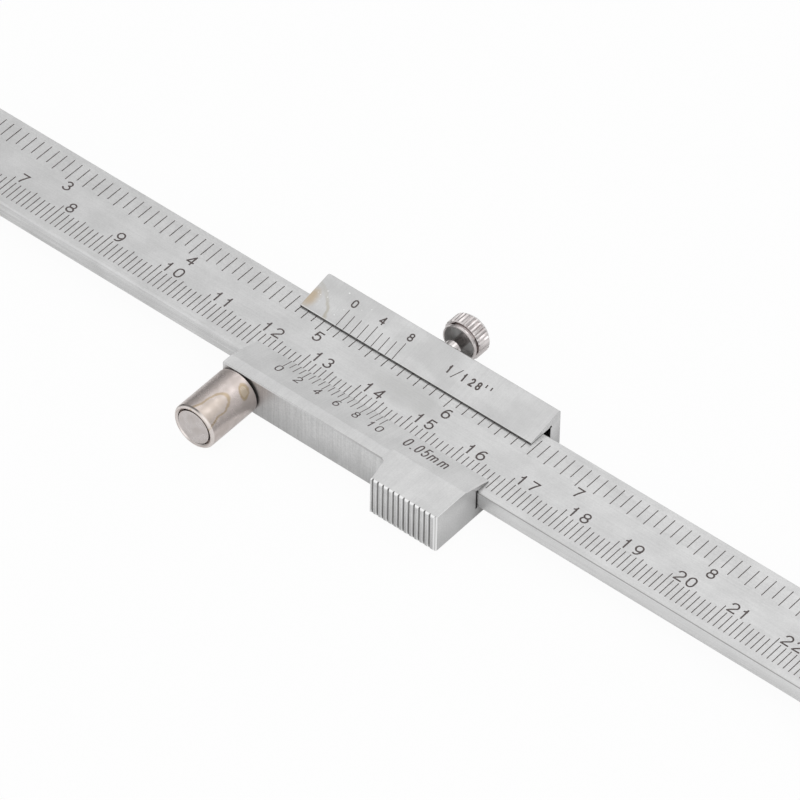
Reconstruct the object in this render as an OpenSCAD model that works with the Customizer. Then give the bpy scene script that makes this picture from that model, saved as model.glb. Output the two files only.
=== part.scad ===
// Vernier marking gauge. A graduated beam has a scriber head riveted to its left end, and a
// vernier slider that carries a guide roller, a thumb pad and a knurled lock screw.
// The origin lies on the resting plane, below the zero line on the beam's centreline.
// X runs along the scale, Y towards the lock screw, Z up. All lengths are millimetres.

/* [Reading] */
// Reading that the vernier shows
reading = 128.9; // [12:0.05:200]
// Greatest reading, where the slider meets the stop screw
reading_max = 200; // [150:1:300]
// Least reading, where the slider meets the scriber head
reading_min = 10; // [8:0.5:12]

/* [Beam] */
// Width of the beam
beam_w = 16; // [14:0.1:18]
// Thickness of the beam
beam_t = 3.2; // [2.6:0.1:4]
// Length of plain bar past the stop screw's centre
beam_after_stop = 8.4; // [4:0.1:20]
// Length of the beam to the left of the zero line
beam_tail = 5; // [4.6:0.1:8]
// Chamfer along the beam's long edges
beam_chamfer = 0.25; // [0.1:0.05:0.4]
// Radius of the two corners at the right end
beam_corner_r = 1.5; // [0.5:0.1:4]

/* [Slider] */
// Length of the slider from its left end to the vernier's zero line
slider_before = 6.8; // [5.5:0.1:9]
// Length of the slider from the vernier's zero line to its right end
slider_after = 38.6; // [32:0.1:50]
// Thickness of the slider's plate under the beam
plate_t = 2; // [1.4:0.1:2.4]
// Height of the slider's top over the beam's top face
lip_rise = 2; // [1.2:0.1:3]
// Wall of the slider in front of the beam
front_wall = 5.4; // [4.6:0.1:8]
// Wall of the slider behind the gib
rear_wall = 2.35; // [1.8:0.05:4]
// Space behind the beam for the gib
gib_space = 1.55; // [1.2:0.05:2.5]
// Chamfer along the slider's outer edges
slider_chamfer = 0.2; // [0.1:0.05:0.4]
// Chamfer along the slider's upper rear edge
rear_chamfer = 0.35; // [0.1:0.05:0.6]
// Radius of the slider's rear left corner, seen from above
rear_corner_r = 0.8; // [0.3:0.1:2]
// Radius of the clearing grooves in the channel's corners
corner_groove_r = 0.28; // [0.15:0.01:0.4]
// Length of the wider mouth at each end of the channel
mouth_len = 1.6; // [0.5:0.1:4]
// Depth of the wider mouth at each end of the channel
mouth_depth = 0.2; // [0.1:0.05:0.6]

/* [Vernier lips] */
// Reach of the front lip over the beam
front_lip_reach = 2.8; // [1.5:0.1:4]
// Thickness of the front lip at its edge
front_lip_edge = 0.2; // [0.15:0.05:0.5]
// Width of the flat band in front of the front bevel
front_band_w = 2.1; // [1:0.1:4]
// Reach of the rear lip over the beam
rear_lip_reach = 3.2; // [1.5:0.1:4]
// Thickness of the rear lip at its edge
rear_lip_edge = 0.3; // [0.15:0.05:0.6]

/* [Thumb pad] */
// Reach of the pad in front of the slider
pad_reach = 4.4; // [3:0.1:8]
// Width of the pad where it leaves the slider
pad_root_w = 13.5; // [13.2:0.1:20]
// Width of the pad's serrated face
pad_face_w = 12.65; // [12.4:0.05:13.1]
// Fillet between the pad and the slider's front
pad_fillet_r = 0.6; // [0.3:0.1:1.5]
// Chamfer along the pad's top and bottom edges
pad_chamfer = 0.3; // [0.1:0.05:0.6]
// Chamfer on the pad's upright right corner
pad_corner_c = 0.45; // [0.2:0.05:0.8]
// Spacing of the serrations
serration_pitch = 1; // [0.8:0.05:1]
// Width of a serration's groove
serration_w = 0.5; // [0.3:0.05:0.6]
// Depth of a serration's groove
serration_depth = 0.45; // [0.2:0.05:0.5]
// Distance from the slider's right end to the first groove
serration_start = 1.3; // [0.8:0.05:1.4]

/* [Guide roller] */
// Diameter of the roller
roller_d = 7.9; // [7.4:0.1:9]
// Length of the roller
roller_len = 10.25; // [6:0.05:16]
// Distance from the slider's left end to the roller's axis
roller_inset = 3.15; // [2.8:0.05:6]
// Distance of the roller's axis below the middle of the beam's thickness
roller_drop = 0.3; // [0:0.05:0.8]
// Radius of the roller's rounded front edge
roller_edge_r = 0.4; // [0.2:0.05:0.6]
// Radius of the roller's finer back edge
roller_back_edge_r = 0.15; // [0.1:0.05:0.4]
// Diameter of the pin that the roller turns on
pin_d = 4; // [3:0.1:4.6]
// Diameter of the pin's head
pin_head_d = 6; // [5.4:0.1:6.2]
// Thickness of the pin's head
pin_head_t = 1.2; // [0.8:0.1:2]
// Depth of the pin's seat in the slider
pin_seat = 4.2; // [3:0.1:4.4]
// Thickness of the washer behind the roller
washer_t = 0.2; // [0.1:0.05:0.6]
// Diameter of the washer
washer_d = 6.2; // [5.4:0.1:7]

/* [Gib] */
// Thickness of the gib strip
gib_t = 0.8; // [0.6:0.05:1]
// Distance from each end of the slider to the gib
gib_inset = 3.6; // [2.5:0.1:6]
// Distance from each end of the slider to a gib screw
gib_screw_inset = 9; // [7:0.1:14]
// Diameter of the gib screws
gib_screw_d = 2; // [1.6:0.1:2.4]
// Length of a gib screw's cone point inside the strip
gib_screw_point = 0.3; // [0.2:0.05:0.5]

/* [Knurled screws] */
// Diameter of the threaded shanks
shank_d = 2.9; // [2.4:0.1:3.4]
// Diameter of the knurled heads
knob_d = 7.15; // [6.4:0.05:7.6]
// Length of the knurled heads
knob_len = 3.95; // [3.2:0.05:6]
// Diameter of the smooth rim in front of the knurling
rim_d = 6.3; // [5.8:0.05:6.4]
// Length of the smooth rim
rim_len = 0.6; // [0.4:0.05:1]
// Width of the groove between rim and knurling
rim_groove_w = 0.25; // [0.1:0.05:0.4]
// Diameter of the recess in the rim's face
recess_d = 5.5; // [4.6:0.05:5.6]
// Depth of the recess in the rim's face
recess_depth = 1.6; // [0.4:0.05:2]
// Number of knurled teeth
knurl_count = 32; // [20:1:40]
// Depth of the knurling
knurl_depth = 0.22; // [0.1:0.02:0.3]
// Length of the chamfer on the head's outer end
knob_chamfer = 0.8; // [0.3:0.05:1]
// Distance from the slider's left end to the lock screw
lock_inset = 22.55; // [16:0.05:26]
// Length of bare shank between the slider and the lock screw's head
lock_stand = 3.65; // [1:0.05:6]
// Length of bare shank between the scriber head and its clamp screw's head
clamp_stand = 2.6; // [1:0.05:6]

/* [Scriber head] */
// Length of the head to the left of the scriber's axis
head_before = 7.9; // [6:0.1:12]
// Size of the corner cut on the head's front left
head_front_cut = 4; // [1:0.1:6]
// Size of the corner cut on the head's rear left
head_rear_cut = 1.5; // [0.5:0.1:4]
// Chamfer along the head's top and bottom edges
head_chamfer = 0.3; // [0.1:0.05:0.6]
// Diameter of the two rivets
rivet_d = 2.3; // [1.8:0.1:2.6]
// Diameter of the rivets' flush heads
rivet_head_d = 3.4; // [3:0.1:3.8]
// Distance from the beam's long edges to the rivets
rivet_edge = 3.4; // [2.4:0.1:5]
// Distance from the beam's left end to the rivets
rivet_inset = 2.6; // [2.2:0.1:4]

/* [Scriber] */
// Diameter of the scriber rod
rod_d = 3; // [2.4:0.1:3.2]
// Length of the rod behind the scriber head
rod_tail = 2.6; // [1:0.1:8]
// Straight length of the rod in front of the scriber head
rod_nose = 1; // [0.5:0.1:4]
// Length of the rod's tapered nose
rod_taper = 1.5; // [0.8:0.1:3]
// Depth of the flat that the clamp bears on
rod_flat = 0.3; // [0.1:0.05:0.5]
// Travel of the scriber each way from where it stands
rod_travel = 4; // [2:0.1:4.5]
// Diameter of the carbide tip
tip_d = 1.6; // [1:0.1:1.8]
// Length of the carbide tip in front of the rod
tip_out = 2.6; // [2.4:0.1:5]
// Length of the tip's ground cone
tip_cone = 2.2; // [1.2:0.1:2.4]
// Length of the carbide tip held inside the rod
tip_held = 3; // [2:0.1:6]
// Length of the brass pad between clamp screw and rod
clamp_pad_len = 1.5; // [0.8:0.1:2.5]

/* [Stop screw] */
// Diameter of the stop screw's head
stop_head_d = 4.4; // [3.6:0.1:5]
// Height of the stop screw's head
stop_head_h = 1.6; // [1.2:0.1:2]
// Diameter of the stop screw's shank
stop_shank_d = 2.4; // [2:0.1:3]
// Width of the stop screw's slot
stop_slot_w = 0.6; // [0.4:0.05:0.8]

/* [Hidden] */

// Clearances
slide_gap = 0.05; // between the beam and the faces that guide it
run_gap = 0.05; // around shanks and rods that turn or slide
seat_gap = 0.01; // around pieces that stay put in their holes
end_gap = 0.1; // between faces that pass each other as they turn
stop_gap = 0.3; // left at the slider's stops
overrun = 1; // how far a cut runs past the face that it opens

// Heights
roller_r = roller_d / 2;
roller_z = roller_r;
beam_mid_z = roller_z + roller_drop;
beam_low_z = beam_mid_z - beam_t / 2;
beam_top_z = beam_mid_z + beam_t / 2;
floor_z = beam_low_z - slide_gap;
base_z = floor_z - plate_t;
lip_z = beam_top_z + slide_gap;
top_z = beam_top_z + lip_rise;

// Places across the beam
beam_half = beam_w / 2;
guide_y = -(beam_half + slide_gap);
front_y = -(beam_half + front_wall);
pad_y = front_y - pad_reach;
rear_in_y = beam_half + gib_space;
rear_y = rear_in_y + rear_wall;
gib_y = beam_half + slide_gap;
gib_back_y = gib_y + gib_t;

// Places along the scale
slider_left = reading - slider_before;
slider_right = reading + slider_after;
roller_x = slider_left + roller_inset;
lock_x = slider_left + lock_inset;
// The reading is the distance from the scriber's point to the roller's near side
scriber_x = roller_x - roller_r - reading;
beam_left = -beam_tail;
cheek_right = reading_min - slider_before - stop_gap;
head_left = scriber_x - head_before;
head_mid_y = (front_y + beam_half) / 2;
rivet_x = beam_left + rivet_inset;
stop_x = reading_max + slider_after + stop_gap + stop_head_d / 2;
beam_right = stop_x + beam_after_stop;

// Roller and its pin
washer_y = front_y - washer_t;
roller_back_y = washer_y - end_gap;
roller_front_y = roller_back_y - roller_len;
counterbore_r = pin_head_d / 2 + 2 * end_gap;
counterbore_depth = pin_head_t + end_gap;

// Scriber rod, from its tail to its nose
rod_tail_y = beam_half + rod_tail;
rod_nose_y = front_y - rod_nose;
rod_end_y = rod_nose_y - rod_taper;
rod_len = rod_tail_y - rod_end_y;
rod_end_d = tip_d + rod_flat;
rod_chamfer = rod_flat;
flat_x = scriber_x - rod_d / 2 + rod_flat;
flat_len = 2 * rod_travel + shank_d + 2 * run_gap;
tip_point_d = run_gap;

$fn = 64;

// Lays a profile drawn as y and z along the beam
module along_x(from, to) {
    translate([from, 0, 0]) rotate([90, 0, 90]) linear_extrude(to - from) children();
}

// Lays a profile drawn as x and z across the beam
module along_y(from, to) {
    translate([0, to, 0]) rotate([90, 0, 0]) linear_extrude(to - from) children();
}

// Turns an upright solid so that its top points to the rear
module pointing_rear(x, y, z) {
    translate([x, y, z]) rotate([-90, 0, 0]) children();
}

// Turns an upright solid so that its top points to the front
module pointing_front(x, y, z) {
    translate([x, y, z]) rotate([90, 0, 0]) children();
}

// Turns an upright solid so that its top points to the left
module pointing_left(x, y, z) {
    translate([x, y, z]) rotate([0, -90, 0]) children();
}

// Points along an arc, from one angle to the other
function arc(centre, r, from, to, steps = 12) = [
    for (i = [0 : steps])
        let (a = from + (to - from) * i / steps)
            [centre[0] + r * cos(a), centre[1] + r * sin(a)]
];

// Outline of a bar with a chamfer on each corner
module chamfered_bar(width, low, high, chamfer) {
    half = width / 2;
    polygon([
        [-half + chamfer, low], [half - chamfer, low],
        [half, low + chamfer], [half, high - chamfer],
        [half - chamfer, high], [-half + chamfer, high],
        [-half, high - chamfer], [-half, low + chamfer]
    ]);
}

module beam_plan() {
    difference() {
        translate([beam_left, -beam_half]) square([beam_right - beam_left, beam_w]);
        for (side = [-1, 1])
            translate([beam_right - beam_corner_r, side * (beam_half - beam_corner_r)])
                difference() {
                    translate([0, side > 0 ? 0 : -beam_corner_r])
                        square(beam_corner_r);
                    circle(beam_corner_r);
                }
    }
}

module rivet_place(side) {
    translate([rivet_x, side * (beam_half - rivet_edge), 0]) children();
}

// A rivet closed and ground flush at both ends
module rivet_body(gap) {
    head_h = (rivet_head_d - rivet_d) / 2;
    r = rivet_d / 2 + gap;
    head_r = rivet_head_d / 2 + gap;
    rotate_extrude()
        polygon([
            [0, 0], [head_r, 0], [r, head_h], [r, beam_top_z - head_h],
            [head_r, beam_top_z], [0, beam_top_z]
        ]);
}

module beam() {
    color("lightgray")
        difference() {
            intersection() {
                along_x(beam_left, beam_right)
                    chamfered_bar(beam_w, beam_low_z, beam_top_z, beam_chamfer);
                translate([0, 0, beam_low_z]) linear_extrude(beam_t) beam_plan();
            }
            for (side = [-1, 1]) rivet_place(side) rivet_body(seat_gap);
            translate([stop_x, 0, beam_low_z - overrun])
                cylinder(d = stop_shank_d + 2 * seat_gap, h = beam_t + 2 * overrun);
        }
}

module head_side() {
    polygon([
        [head_left + head_chamfer, 0], [cheek_right - head_chamfer, 0],
        [cheek_right, head_chamfer], [cheek_right, beam_low_z],
        [beam_left, beam_low_z], [beam_left, top_z - head_chamfer],
        [beam_left - head_chamfer, top_z], [head_left + head_chamfer, top_z],
        [head_left, top_z - head_chamfer], [head_left, head_chamfer]
    ]);
}

module head_plan() {
    polygon([
        [head_left + head_front_cut, front_y], [beam_left, front_y],
        [beam_left, -beam_half], [cheek_right, -beam_half],
        [cheek_right, beam_half], [head_left + head_rear_cut, beam_half],
        [head_left, beam_half - head_rear_cut], [head_left, front_y + head_front_cut]
    ]);
}

module scriber_head() {
    color("silver")
        difference() {
            intersection() {
                along_y(front_y, beam_half) head_side();
                linear_extrude(top_z) head_plan();
            }
            pointing_rear(scriber_x, front_y - overrun, roller_z)
                cylinder(d = rod_d + 2 * run_gap, h = beam_half - front_y + 2 * overrun);
            pointing_left(scriber_x, head_mid_y, roller_z)
                cylinder(d = shank_d + 2 * run_gap, h = head_before + overrun);
            for (side = [-1, 1]) rivet_place(side) rivet_body(seat_gap);
        }
}

module head_rivet(side) {
    color("gray") rivet_place(side) rivet_body(0);
}

module head_rivet_front() { head_rivet(-1); }

module head_rivet_rear() { head_rivet(1); }

module stop_screw() {
    head_z = beam_low_z - stop_head_h;
    slot_depth = stop_head_h / 2;
    color("dimgray")
        difference() {
            union() {
                translate([stop_x, 0, head_z]) cylinder(d = stop_head_d, h = stop_head_h);
                translate([stop_x, 0, beam_low_z]) cylinder(d = stop_shank_d, h = beam_t);
            }
            translate([stop_x - stop_slot_w / 2, -stop_head_d, head_z - overrun])
                cube([stop_slot_w, 2 * stop_head_d, slot_depth + overrun]);
        }
}

// Cross-section of the slider, drawn as y and z
module slider_section() {
    c = slider_chamfer;
    front_tip_y = front_lip_reach - beam_half;
    rear_tip_y = beam_half - rear_lip_reach;
    difference() {
        polygon([
            [front_y + c, base_z], [rear_y - c, base_z],
            [rear_y, base_z + c], [rear_y, top_z - rear_chamfer], [rear_y - rear_chamfer, top_z],
            [rear_tip_y, lip_z + rear_lip_edge], [rear_tip_y, lip_z],
            [rear_in_y, lip_z], [rear_in_y, floor_z],
            [guide_y, floor_z], [guide_y, lip_z],
            [front_tip_y, lip_z], [front_tip_y, lip_z + front_lip_edge],
            [front_y + front_band_w, top_z], [front_y + c, top_z],
            [front_y, top_z - c], [front_y, base_z + c]
        ]);
        for (y = [guide_y, rear_in_y], z = [floor_z, lip_z])
            translate([y, z]) circle(corner_groove_r, $fn = 24);
    }
}

// Outline of the thumb pad seen from above, with its fillet and serrations
module pad_plan() {
    inner_y = front_y + front_wall / 2;
    root_x = slider_right - pad_root_w;
    face_x = slider_right - pad_face_w;
    flank = [face_x - root_x, pad_y - front_y];
    flank_len = norm(flank);
    along = flank / flank_len;
    outward = [along[1], -along[0]];
    start = -pad_fillet_r * (1 + outward[1]) / along[1];
    centre = [root_x + start * along[0] + pad_fillet_r * outward[0], front_y - pad_fillet_r];
    flank_angle = atan2(-outward[1], -outward[0]);
    serration_room = pad_face_w - serration_start - serration_w / 2;
    serration_count = floor(serration_room / serration_pitch) + 1;
    grooves = [
        for (i = [0 : serration_count - 1])
            let (x = slider_right - serration_start - i * serration_pitch)
                each [
                    [x + serration_w / 2, pad_y],
                    [x, pad_y + serration_depth],
                    [x - serration_w / 2, pad_y]
                ]
    ];
    polygon(concat(
        [[slider_right, inner_y], [slider_right, pad_y + pad_corner_c]],
        [[slider_right - pad_corner_c, pad_y]],
        grooves,
        [[face_x, pad_y]],
        arc(centre, pad_fillet_r, flank_angle, 90),
        [[centre[0], inner_y]]
    ));
}

// Section of the thumb pad, drawn as y and z, with its edges chamfered
module pad_section() {
    inner_y = front_y + front_wall / 2;
    polygon([
        [inner_y, base_z], [inner_y, top_z],
        [pad_y + pad_chamfer, top_z], [pad_y, top_z - pad_chamfer],
        [pad_y, base_z + pad_chamfer], [pad_y + pad_chamfer, base_z]
    ]);
}

// Upright cut that rounds the slider's rear left corner
module rear_corner_cut() {
    translate([slider_left, rear_y - rear_corner_r, base_z - overrun])
        linear_extrude(top_z - base_z + 2 * overrun)
            difference() {
                translate([-overrun, 0])
                    square([rear_corner_r + overrun, rear_corner_r + overrun]);
                translate([rear_corner_r, 0]) circle(rear_corner_r);
            }
}

module slider_body() {
    color("silver")
        difference() {
            union() {
                along_x(slider_left, slider_right) slider_section();
                intersection() {
                    translate([0, 0, base_z]) linear_extrude(top_z - base_z) pad_plan();
                    along_x(slider_left, slider_right + overrun) pad_section();
                }
            }
            for (x = [slider_left - overrun, slider_right - mouth_len])
                translate([x, guide_y - mouth_depth, floor_z])
                    cube([mouth_len + overrun, mouth_depth + slide_gap, lip_z - floor_z]);
            rear_corner_cut();
            pointing_rear(roller_x, front_y - overrun, roller_z)
                cylinder(d = pin_d + 2 * seat_gap, h = pin_seat + overrun);
            pointing_rear(lock_x, rear_in_y - slide_gap, beam_mid_z)
                cylinder(d = shank_d + 2 * run_gap, h = rear_wall + overrun);
            for (x = [slider_left + gib_screw_inset, slider_right - gib_screw_inset])
                pointing_rear(x, rear_in_y - slide_gap, beam_mid_z)
                    cylinder(d = gib_screw_d + 2 * run_gap, h = rear_wall + overrun);
        }
}

// Cone point of a gib screw, from its tip outwards
module gib_point(gap) {
    cylinder(r1 = gap, r2 = gib_screw_point + gap, h = gib_screw_point);
}

module gib_strip() {
    left = slider_left + gib_inset;
    right = slider_right - gib_inset;
    color("darkgoldenrod")
        difference() {
            translate([left, gib_y, floor_z + slide_gap])
                cube([right - left, gib_t, lip_z - floor_z - 2 * slide_gap]);
            for (x = [slider_left + gib_screw_inset, slider_right - gib_screw_inset])
                pointing_rear(x, gib_back_y - gib_screw_point, beam_mid_z) gib_point(run_gap);
        }
}

// Slotted grub screw that sets the gib, with its outer end just inside the rear face
module gib_screw(x) {
    outer_y = rear_y - 2 * slider_chamfer;
    slot_w = gib_screw_d / 5;
    slot_depth = gib_screw_d / 3;
    color("dimgray")
        difference() {
            union() {
                pointing_rear(x, gib_back_y - gib_screw_point + run_gap, beam_mid_z)
                    gib_point(0);
                pointing_rear(x, gib_back_y + run_gap, beam_mid_z)
                    cylinder(d = gib_screw_d, h = outer_y - gib_back_y - run_gap);
            }
            translate([x - gib_screw_d, outer_y - slot_depth, beam_mid_z - slot_w / 2])
                cube([2 * gib_screw_d, slot_depth + overrun, slot_w]);
        }
}

module gib_screw_left() { gib_screw(slider_left + gib_screw_inset); }

module gib_screw_right() { gib_screw(slider_right - gib_screw_inset); }

// Shouldered pin with a flush head, pressed into the slider's front
module roller_pin() {
    seat_y = front_y + pin_seat - seat_gap;
    head_y = roller_front_y + pin_head_t;
    edge = end_gap;
    color("gainsboro")
        pointing_front(roller_x, seat_y, roller_z)
            rotate_extrude()
                polygon([
                    [0, 0], [pin_d / 2 - edge, 0], [pin_d / 2, edge],
                    [pin_d / 2, seat_y - head_y], [pin_head_d / 2, seat_y - head_y],
                    [pin_head_d / 2, seat_y - roller_front_y - edge],
                    [pin_head_d / 2 - edge, seat_y - roller_front_y],
                    [0, seat_y - roller_front_y]
                ]);
}

module roller_washer() {
    color("darkgray")
        pointing_front(roller_x, front_y, roller_z)
            difference() {
                cylinder(d = washer_d, h = washer_t);
                translate([0, 0, -overrun])
                    cylinder(d = pin_d + 2 * run_gap, h = washer_t + 2 * overrun);
            }
}

// Sleeve that turns on the pin, with rounded edges and a counterbore for the pin's head
module guide_roller() {
    e = roller_edge_r;
    back_e = roller_back_edge_r;
    bore_r = pin_d / 2 + run_gap;
    color("rosybrown")
        pointing_front(roller_x, roller_back_y, roller_z)
            rotate_extrude()
                polygon(concat(
                    [[bore_r, 0]],
                    arc([roller_r - back_e, back_e], back_e, -90, 0, 8),
                    arc([roller_r - e, roller_len - e], e, 0, 90, 8),
                    [
                        [counterbore_r, roller_len],
                        [counterbore_r, roller_len - counterbore_depth],
                        [bore_r, roller_len - counterbore_depth]
                    ]
                ));
}

// Star outline of the straight knurling
module knurl_star() {
    polygon([
        for (i = [0 : 2 * knurl_count - 1])
            let (r = knob_d / 2 - (i % 2) * knurl_depth, a = 180 * i / knurl_count)
                [r * cos(a), r * sin(a)]
    ]);
}

// Knurled thumb screw: a shank, then a rim with a recessed face, then the knurled head
module thumb_screw(shank_len) {
    shank_r = shank_d / 2;
    knob_r = knob_d / 2;
    rim_r = rim_d / 2;
    groove_r = rim_r - rim_groove_w;
    bevel = slider_chamfer;
    neck = shank_len;
    knurl_z = neck + rim_len + rim_groove_w;
    end_z = neck + knob_len;
    cone = (recess_d - shank_d) / 8;
    union() {
        rotate_extrude()
            polygon([
                [0, 0], [shank_r - bevel, 0], [shank_r, bevel],
                [shank_r, end_z - knob_chamfer], [0, end_z - knob_chamfer]
            ]);
        intersection() {
            rotate_extrude()
                polygon([
                    [0, neck + recess_depth], [recess_d / 2 - cone, neck + recess_depth],
                    [recess_d / 2, neck], [rim_r - bevel, neck], [rim_r, neck + bevel],
                    [rim_r, neck + rim_len], [groove_r, neck + rim_len],
                    [groove_r, knurl_z], [knob_r - bevel, knurl_z],
                    [knob_r, knurl_z + bevel], [knob_r, end_z - knob_chamfer],
                    [knob_r - knob_chamfer, end_z], [0, end_z]
                ]);
            linear_extrude(end_z + overrun) knurl_star();
        }
    }
}

module lock_screw() {
    start_y = gib_back_y + run_gap;
    color("whitesmoke")
        pointing_rear(lock_x, start_y, beam_mid_z)
            thumb_screw(rear_y + lock_stand - start_y);
}

module scriber_rod() {
    r = rod_d / 2;
    color("lightsteelblue")
        difference() {
            pointing_front(scriber_x, rod_tail_y, roller_z)
                rotate_extrude()
                    polygon([
                        [0, 0], [r - rod_chamfer, 0], [r, rod_chamfer],
                        [r, rod_len - rod_taper], [rod_end_d / 2, rod_len], [0, rod_len]
                    ]);
            pointing_rear(scriber_x, rod_end_y - overrun, roller_z)
                cylinder(d = tip_d + 2 * seat_gap, h = tip_held + overrun);
            translate([flat_x - rod_d, head_mid_y - flat_len / 2, roller_z - rod_d])
                cube([rod_d, flat_len, 2 * rod_d]);
        }
}

module scriber_tip() {
    r = tip_d / 2;
    full_len = tip_held + tip_out - seat_gap;
    color("darkslategray")
        pointing_front(scriber_x, rod_end_y + tip_held - seat_gap, roller_z)
            rotate_extrude()
                polygon([
                    [0, 0], [r, 0], [r, full_len - tip_cone],
                    [tip_point_d / 2, full_len], [0, full_len]
                ]);
}

module clamp_pad() {
    color("goldenrod")
        pointing_left(flat_x - run_gap, head_mid_y, roller_z)
            cylinder(d = shank_d - 2 * run_gap, h = clamp_pad_len);
}

module clamp_screw() {
    start_x = flat_x - clamp_pad_len - 2 * run_gap;
    color("whitesmoke")
        pointing_left(start_x, head_mid_y, roller_z)
            thumb_screw(start_x - head_left + clamp_stand);
}

beam();
scriber_head();
head_rivet_front();
head_rivet_rear();
stop_screw();
slider_body();
gib_strip();
gib_screw_left();
gib_screw_right();
roller_pin();
roller_washer();
guide_roller();
lock_screw();
scriber_rod();
scriber_tip();
clamp_pad();
clamp_screw();
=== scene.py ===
"""Vernier marking gauge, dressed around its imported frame.

The gauge is a graduated steel beam with a scriber head at its left end and a vernier slider
that carries a guide roller, a serrated thumb pad and a knurled lock screw. The frame's origin
lies below the beam's zero line, X runs along the scale, Y towards the lock screw and Z up.
"""

import logging
import math
from abc import ABC, abstractmethod
from dataclasses import dataclass, field
from enum import Enum

import bmesh
import bpy
from mathutils import Matrix, Vector


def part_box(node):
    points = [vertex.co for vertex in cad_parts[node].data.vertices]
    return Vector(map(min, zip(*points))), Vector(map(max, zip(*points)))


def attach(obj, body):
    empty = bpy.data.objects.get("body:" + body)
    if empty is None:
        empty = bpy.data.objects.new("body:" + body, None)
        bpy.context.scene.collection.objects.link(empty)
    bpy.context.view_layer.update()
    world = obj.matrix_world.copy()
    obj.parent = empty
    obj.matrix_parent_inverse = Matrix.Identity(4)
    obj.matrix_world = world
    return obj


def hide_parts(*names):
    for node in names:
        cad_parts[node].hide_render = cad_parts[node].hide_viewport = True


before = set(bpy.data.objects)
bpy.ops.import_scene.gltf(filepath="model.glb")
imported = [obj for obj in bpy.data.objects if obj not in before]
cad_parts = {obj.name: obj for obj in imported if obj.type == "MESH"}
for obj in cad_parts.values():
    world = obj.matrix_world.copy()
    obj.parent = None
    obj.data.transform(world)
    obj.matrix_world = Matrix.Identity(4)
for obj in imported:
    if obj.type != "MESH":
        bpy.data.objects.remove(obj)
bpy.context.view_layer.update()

Tree = bpy.types.NodeTree
Node = bpy.types.Node
Source = bpy.types.Node | bpy.types.NodeSocket
Piece = bpy.types.Object
Pair = tuple[float, float]
Triple = tuple[float, float, float]

LOG = logging.getLogger("marking_gauge")
MM = 0.001
INCH = 25.4
MERGE_DISTANCE = MM / 1000
FLAT_ANGLE = math.radians(0.2)


class Slot(Enum):
    """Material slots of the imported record."""

    STEEL = "satin_stainless"
    NICKEL = "nickel_plate"
    BLACK = "blackened_steel"
    CARBIDE = "carbide"


class Body(Enum):
    """Bodies of the frame that the pieces ride on."""

    BEAM = "beam"
    SLIDER = "slider"
    ROLLER = "roller"
    LOCK_SCREW = "lock_screw"
    GIB_SCREW_LEFT = "gib_screw_left"
    GIB_SCREW_RIGHT = "gib_screw_right"
    SCRIBER = "scriber"
    CLAMP_SCREW = "clamp_screw"


class Axis(Enum):
    """Directions that a turned piece points in, as the turn from upright to that direction."""

    REAR = Matrix.Rotation(math.radians(-90), 4, "X")
    FRONT = Matrix.Rotation(math.radians(90), 4, "X")
    LEFT = Matrix.Rotation(math.radians(-90), 4, "Y")


# Small tools


def metres(*lengths: float) -> list[float]:
    """Turns lengths in millimetres into metres."""
    return [length * MM for length in lengths]


def linear(hex_colour: str) -> tuple[float, float, float, float]:
    """Turns an sRGB hex colour into the linear colour that a shader takes.

    Args:
        hex_colour: Six hex digits after a hash sign.

    Returns:
        Red, green, blue and alpha, each from 0 to 1.
    """
    shares = [int(hex_colour[i:i + 2], 16) / 255 for i in (1, 3, 5)]
    return (*(s / 12.92 if s <= 0.04045 else ((s + 0.055) / 1.055) ** 2.4 for s in shares), 1.0)


def first_output(source: Source) -> bpy.types.NodeSocket:
    """Gives a node's first output that is in use, or the output that it is given.

    Args:
        source: Node or output.

    Returns:
        The output.
    """
    if isinstance(source, bpy.types.NodeSocket):
        return source
    return next(output for output in source.outputs if output.enabled)


def add_node(tree: Tree, kind: str, settings: dict | None = None,
             inputs: dict | None = None) -> Node:
    """Adds a shader node with its settings and what goes into it.

    Args:
        tree: Node tree that takes the node.
        kind: Node type after its ShaderNode prefix.
        settings: Attribute names and their values.
        inputs: Input names or numbers, each with a value, or with the node or the output that
            feeds it.

    Returns:
        The new node.
    """
    node = tree.nodes.new("ShaderNode" + kind)
    for name, value in (settings or {}).items():
        setattr(node, name, value)
    for key, value in (inputs or {}).items():
        if isinstance(value, Source):
            tree.links.new(first_output(value), node.inputs[key])
        else:
            node.inputs[key].default_value = value
    return node


def empty_material(name: str) -> tuple[bpy.types.Material, Tree]:
    """Adds a material with nothing in its node tree.

    Args:
        name: Name of the material.

    Returns:
        The material and its node tree.
    """
    material = bpy.data.materials.new(name)
    material.use_nodes = True
    material.node_tree.nodes.clear()
    return material, material.node_tree


def select_only(*objects: Piece) -> None:
    """Selects these objects and nothing else, and makes the first one active.

    Args:
        *objects: The objects.
    """
    bpy.ops.object.select_all(action="DESELECT")
    for each in objects:
        each.select_set(True)
    bpy.context.view_layer.objects.active = objects[0]


def place(piece: Piece, matrix: Matrix) -> Piece:
    """Moves a piece's mesh and leaves its object at the origin.

    Args:
        piece: Piece to move.
        matrix: How it moves.

    Returns:
        The same piece.
    """
    piece.data.transform(matrix)
    piece.data.update()
    return piece


def smooth(piece: Piece, angle: float) -> Piece:
    """Shades a piece smoothly, apart from its sharp edges.

    Args:
        piece: Piece to shade.
        angle: Angle in degrees from which an edge stays sharp.

    Returns:
        The same piece.
    """
    select_only(piece)
    bpy.ops.object.shade_smooth_by_angle(angle=math.radians(angle))
    return piece


def apply_modifiers(piece: Piece) -> Piece:
    """Applies all of a piece's modifiers in their order.

    Args:
        piece: Piece to change.

    Returns:
        The same piece.
    """
    select_only(piece)
    for modifier in list(piece.modifiers):
        bpy.ops.object.modifier_apply(modifier=modifier.name)
    return piece


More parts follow.
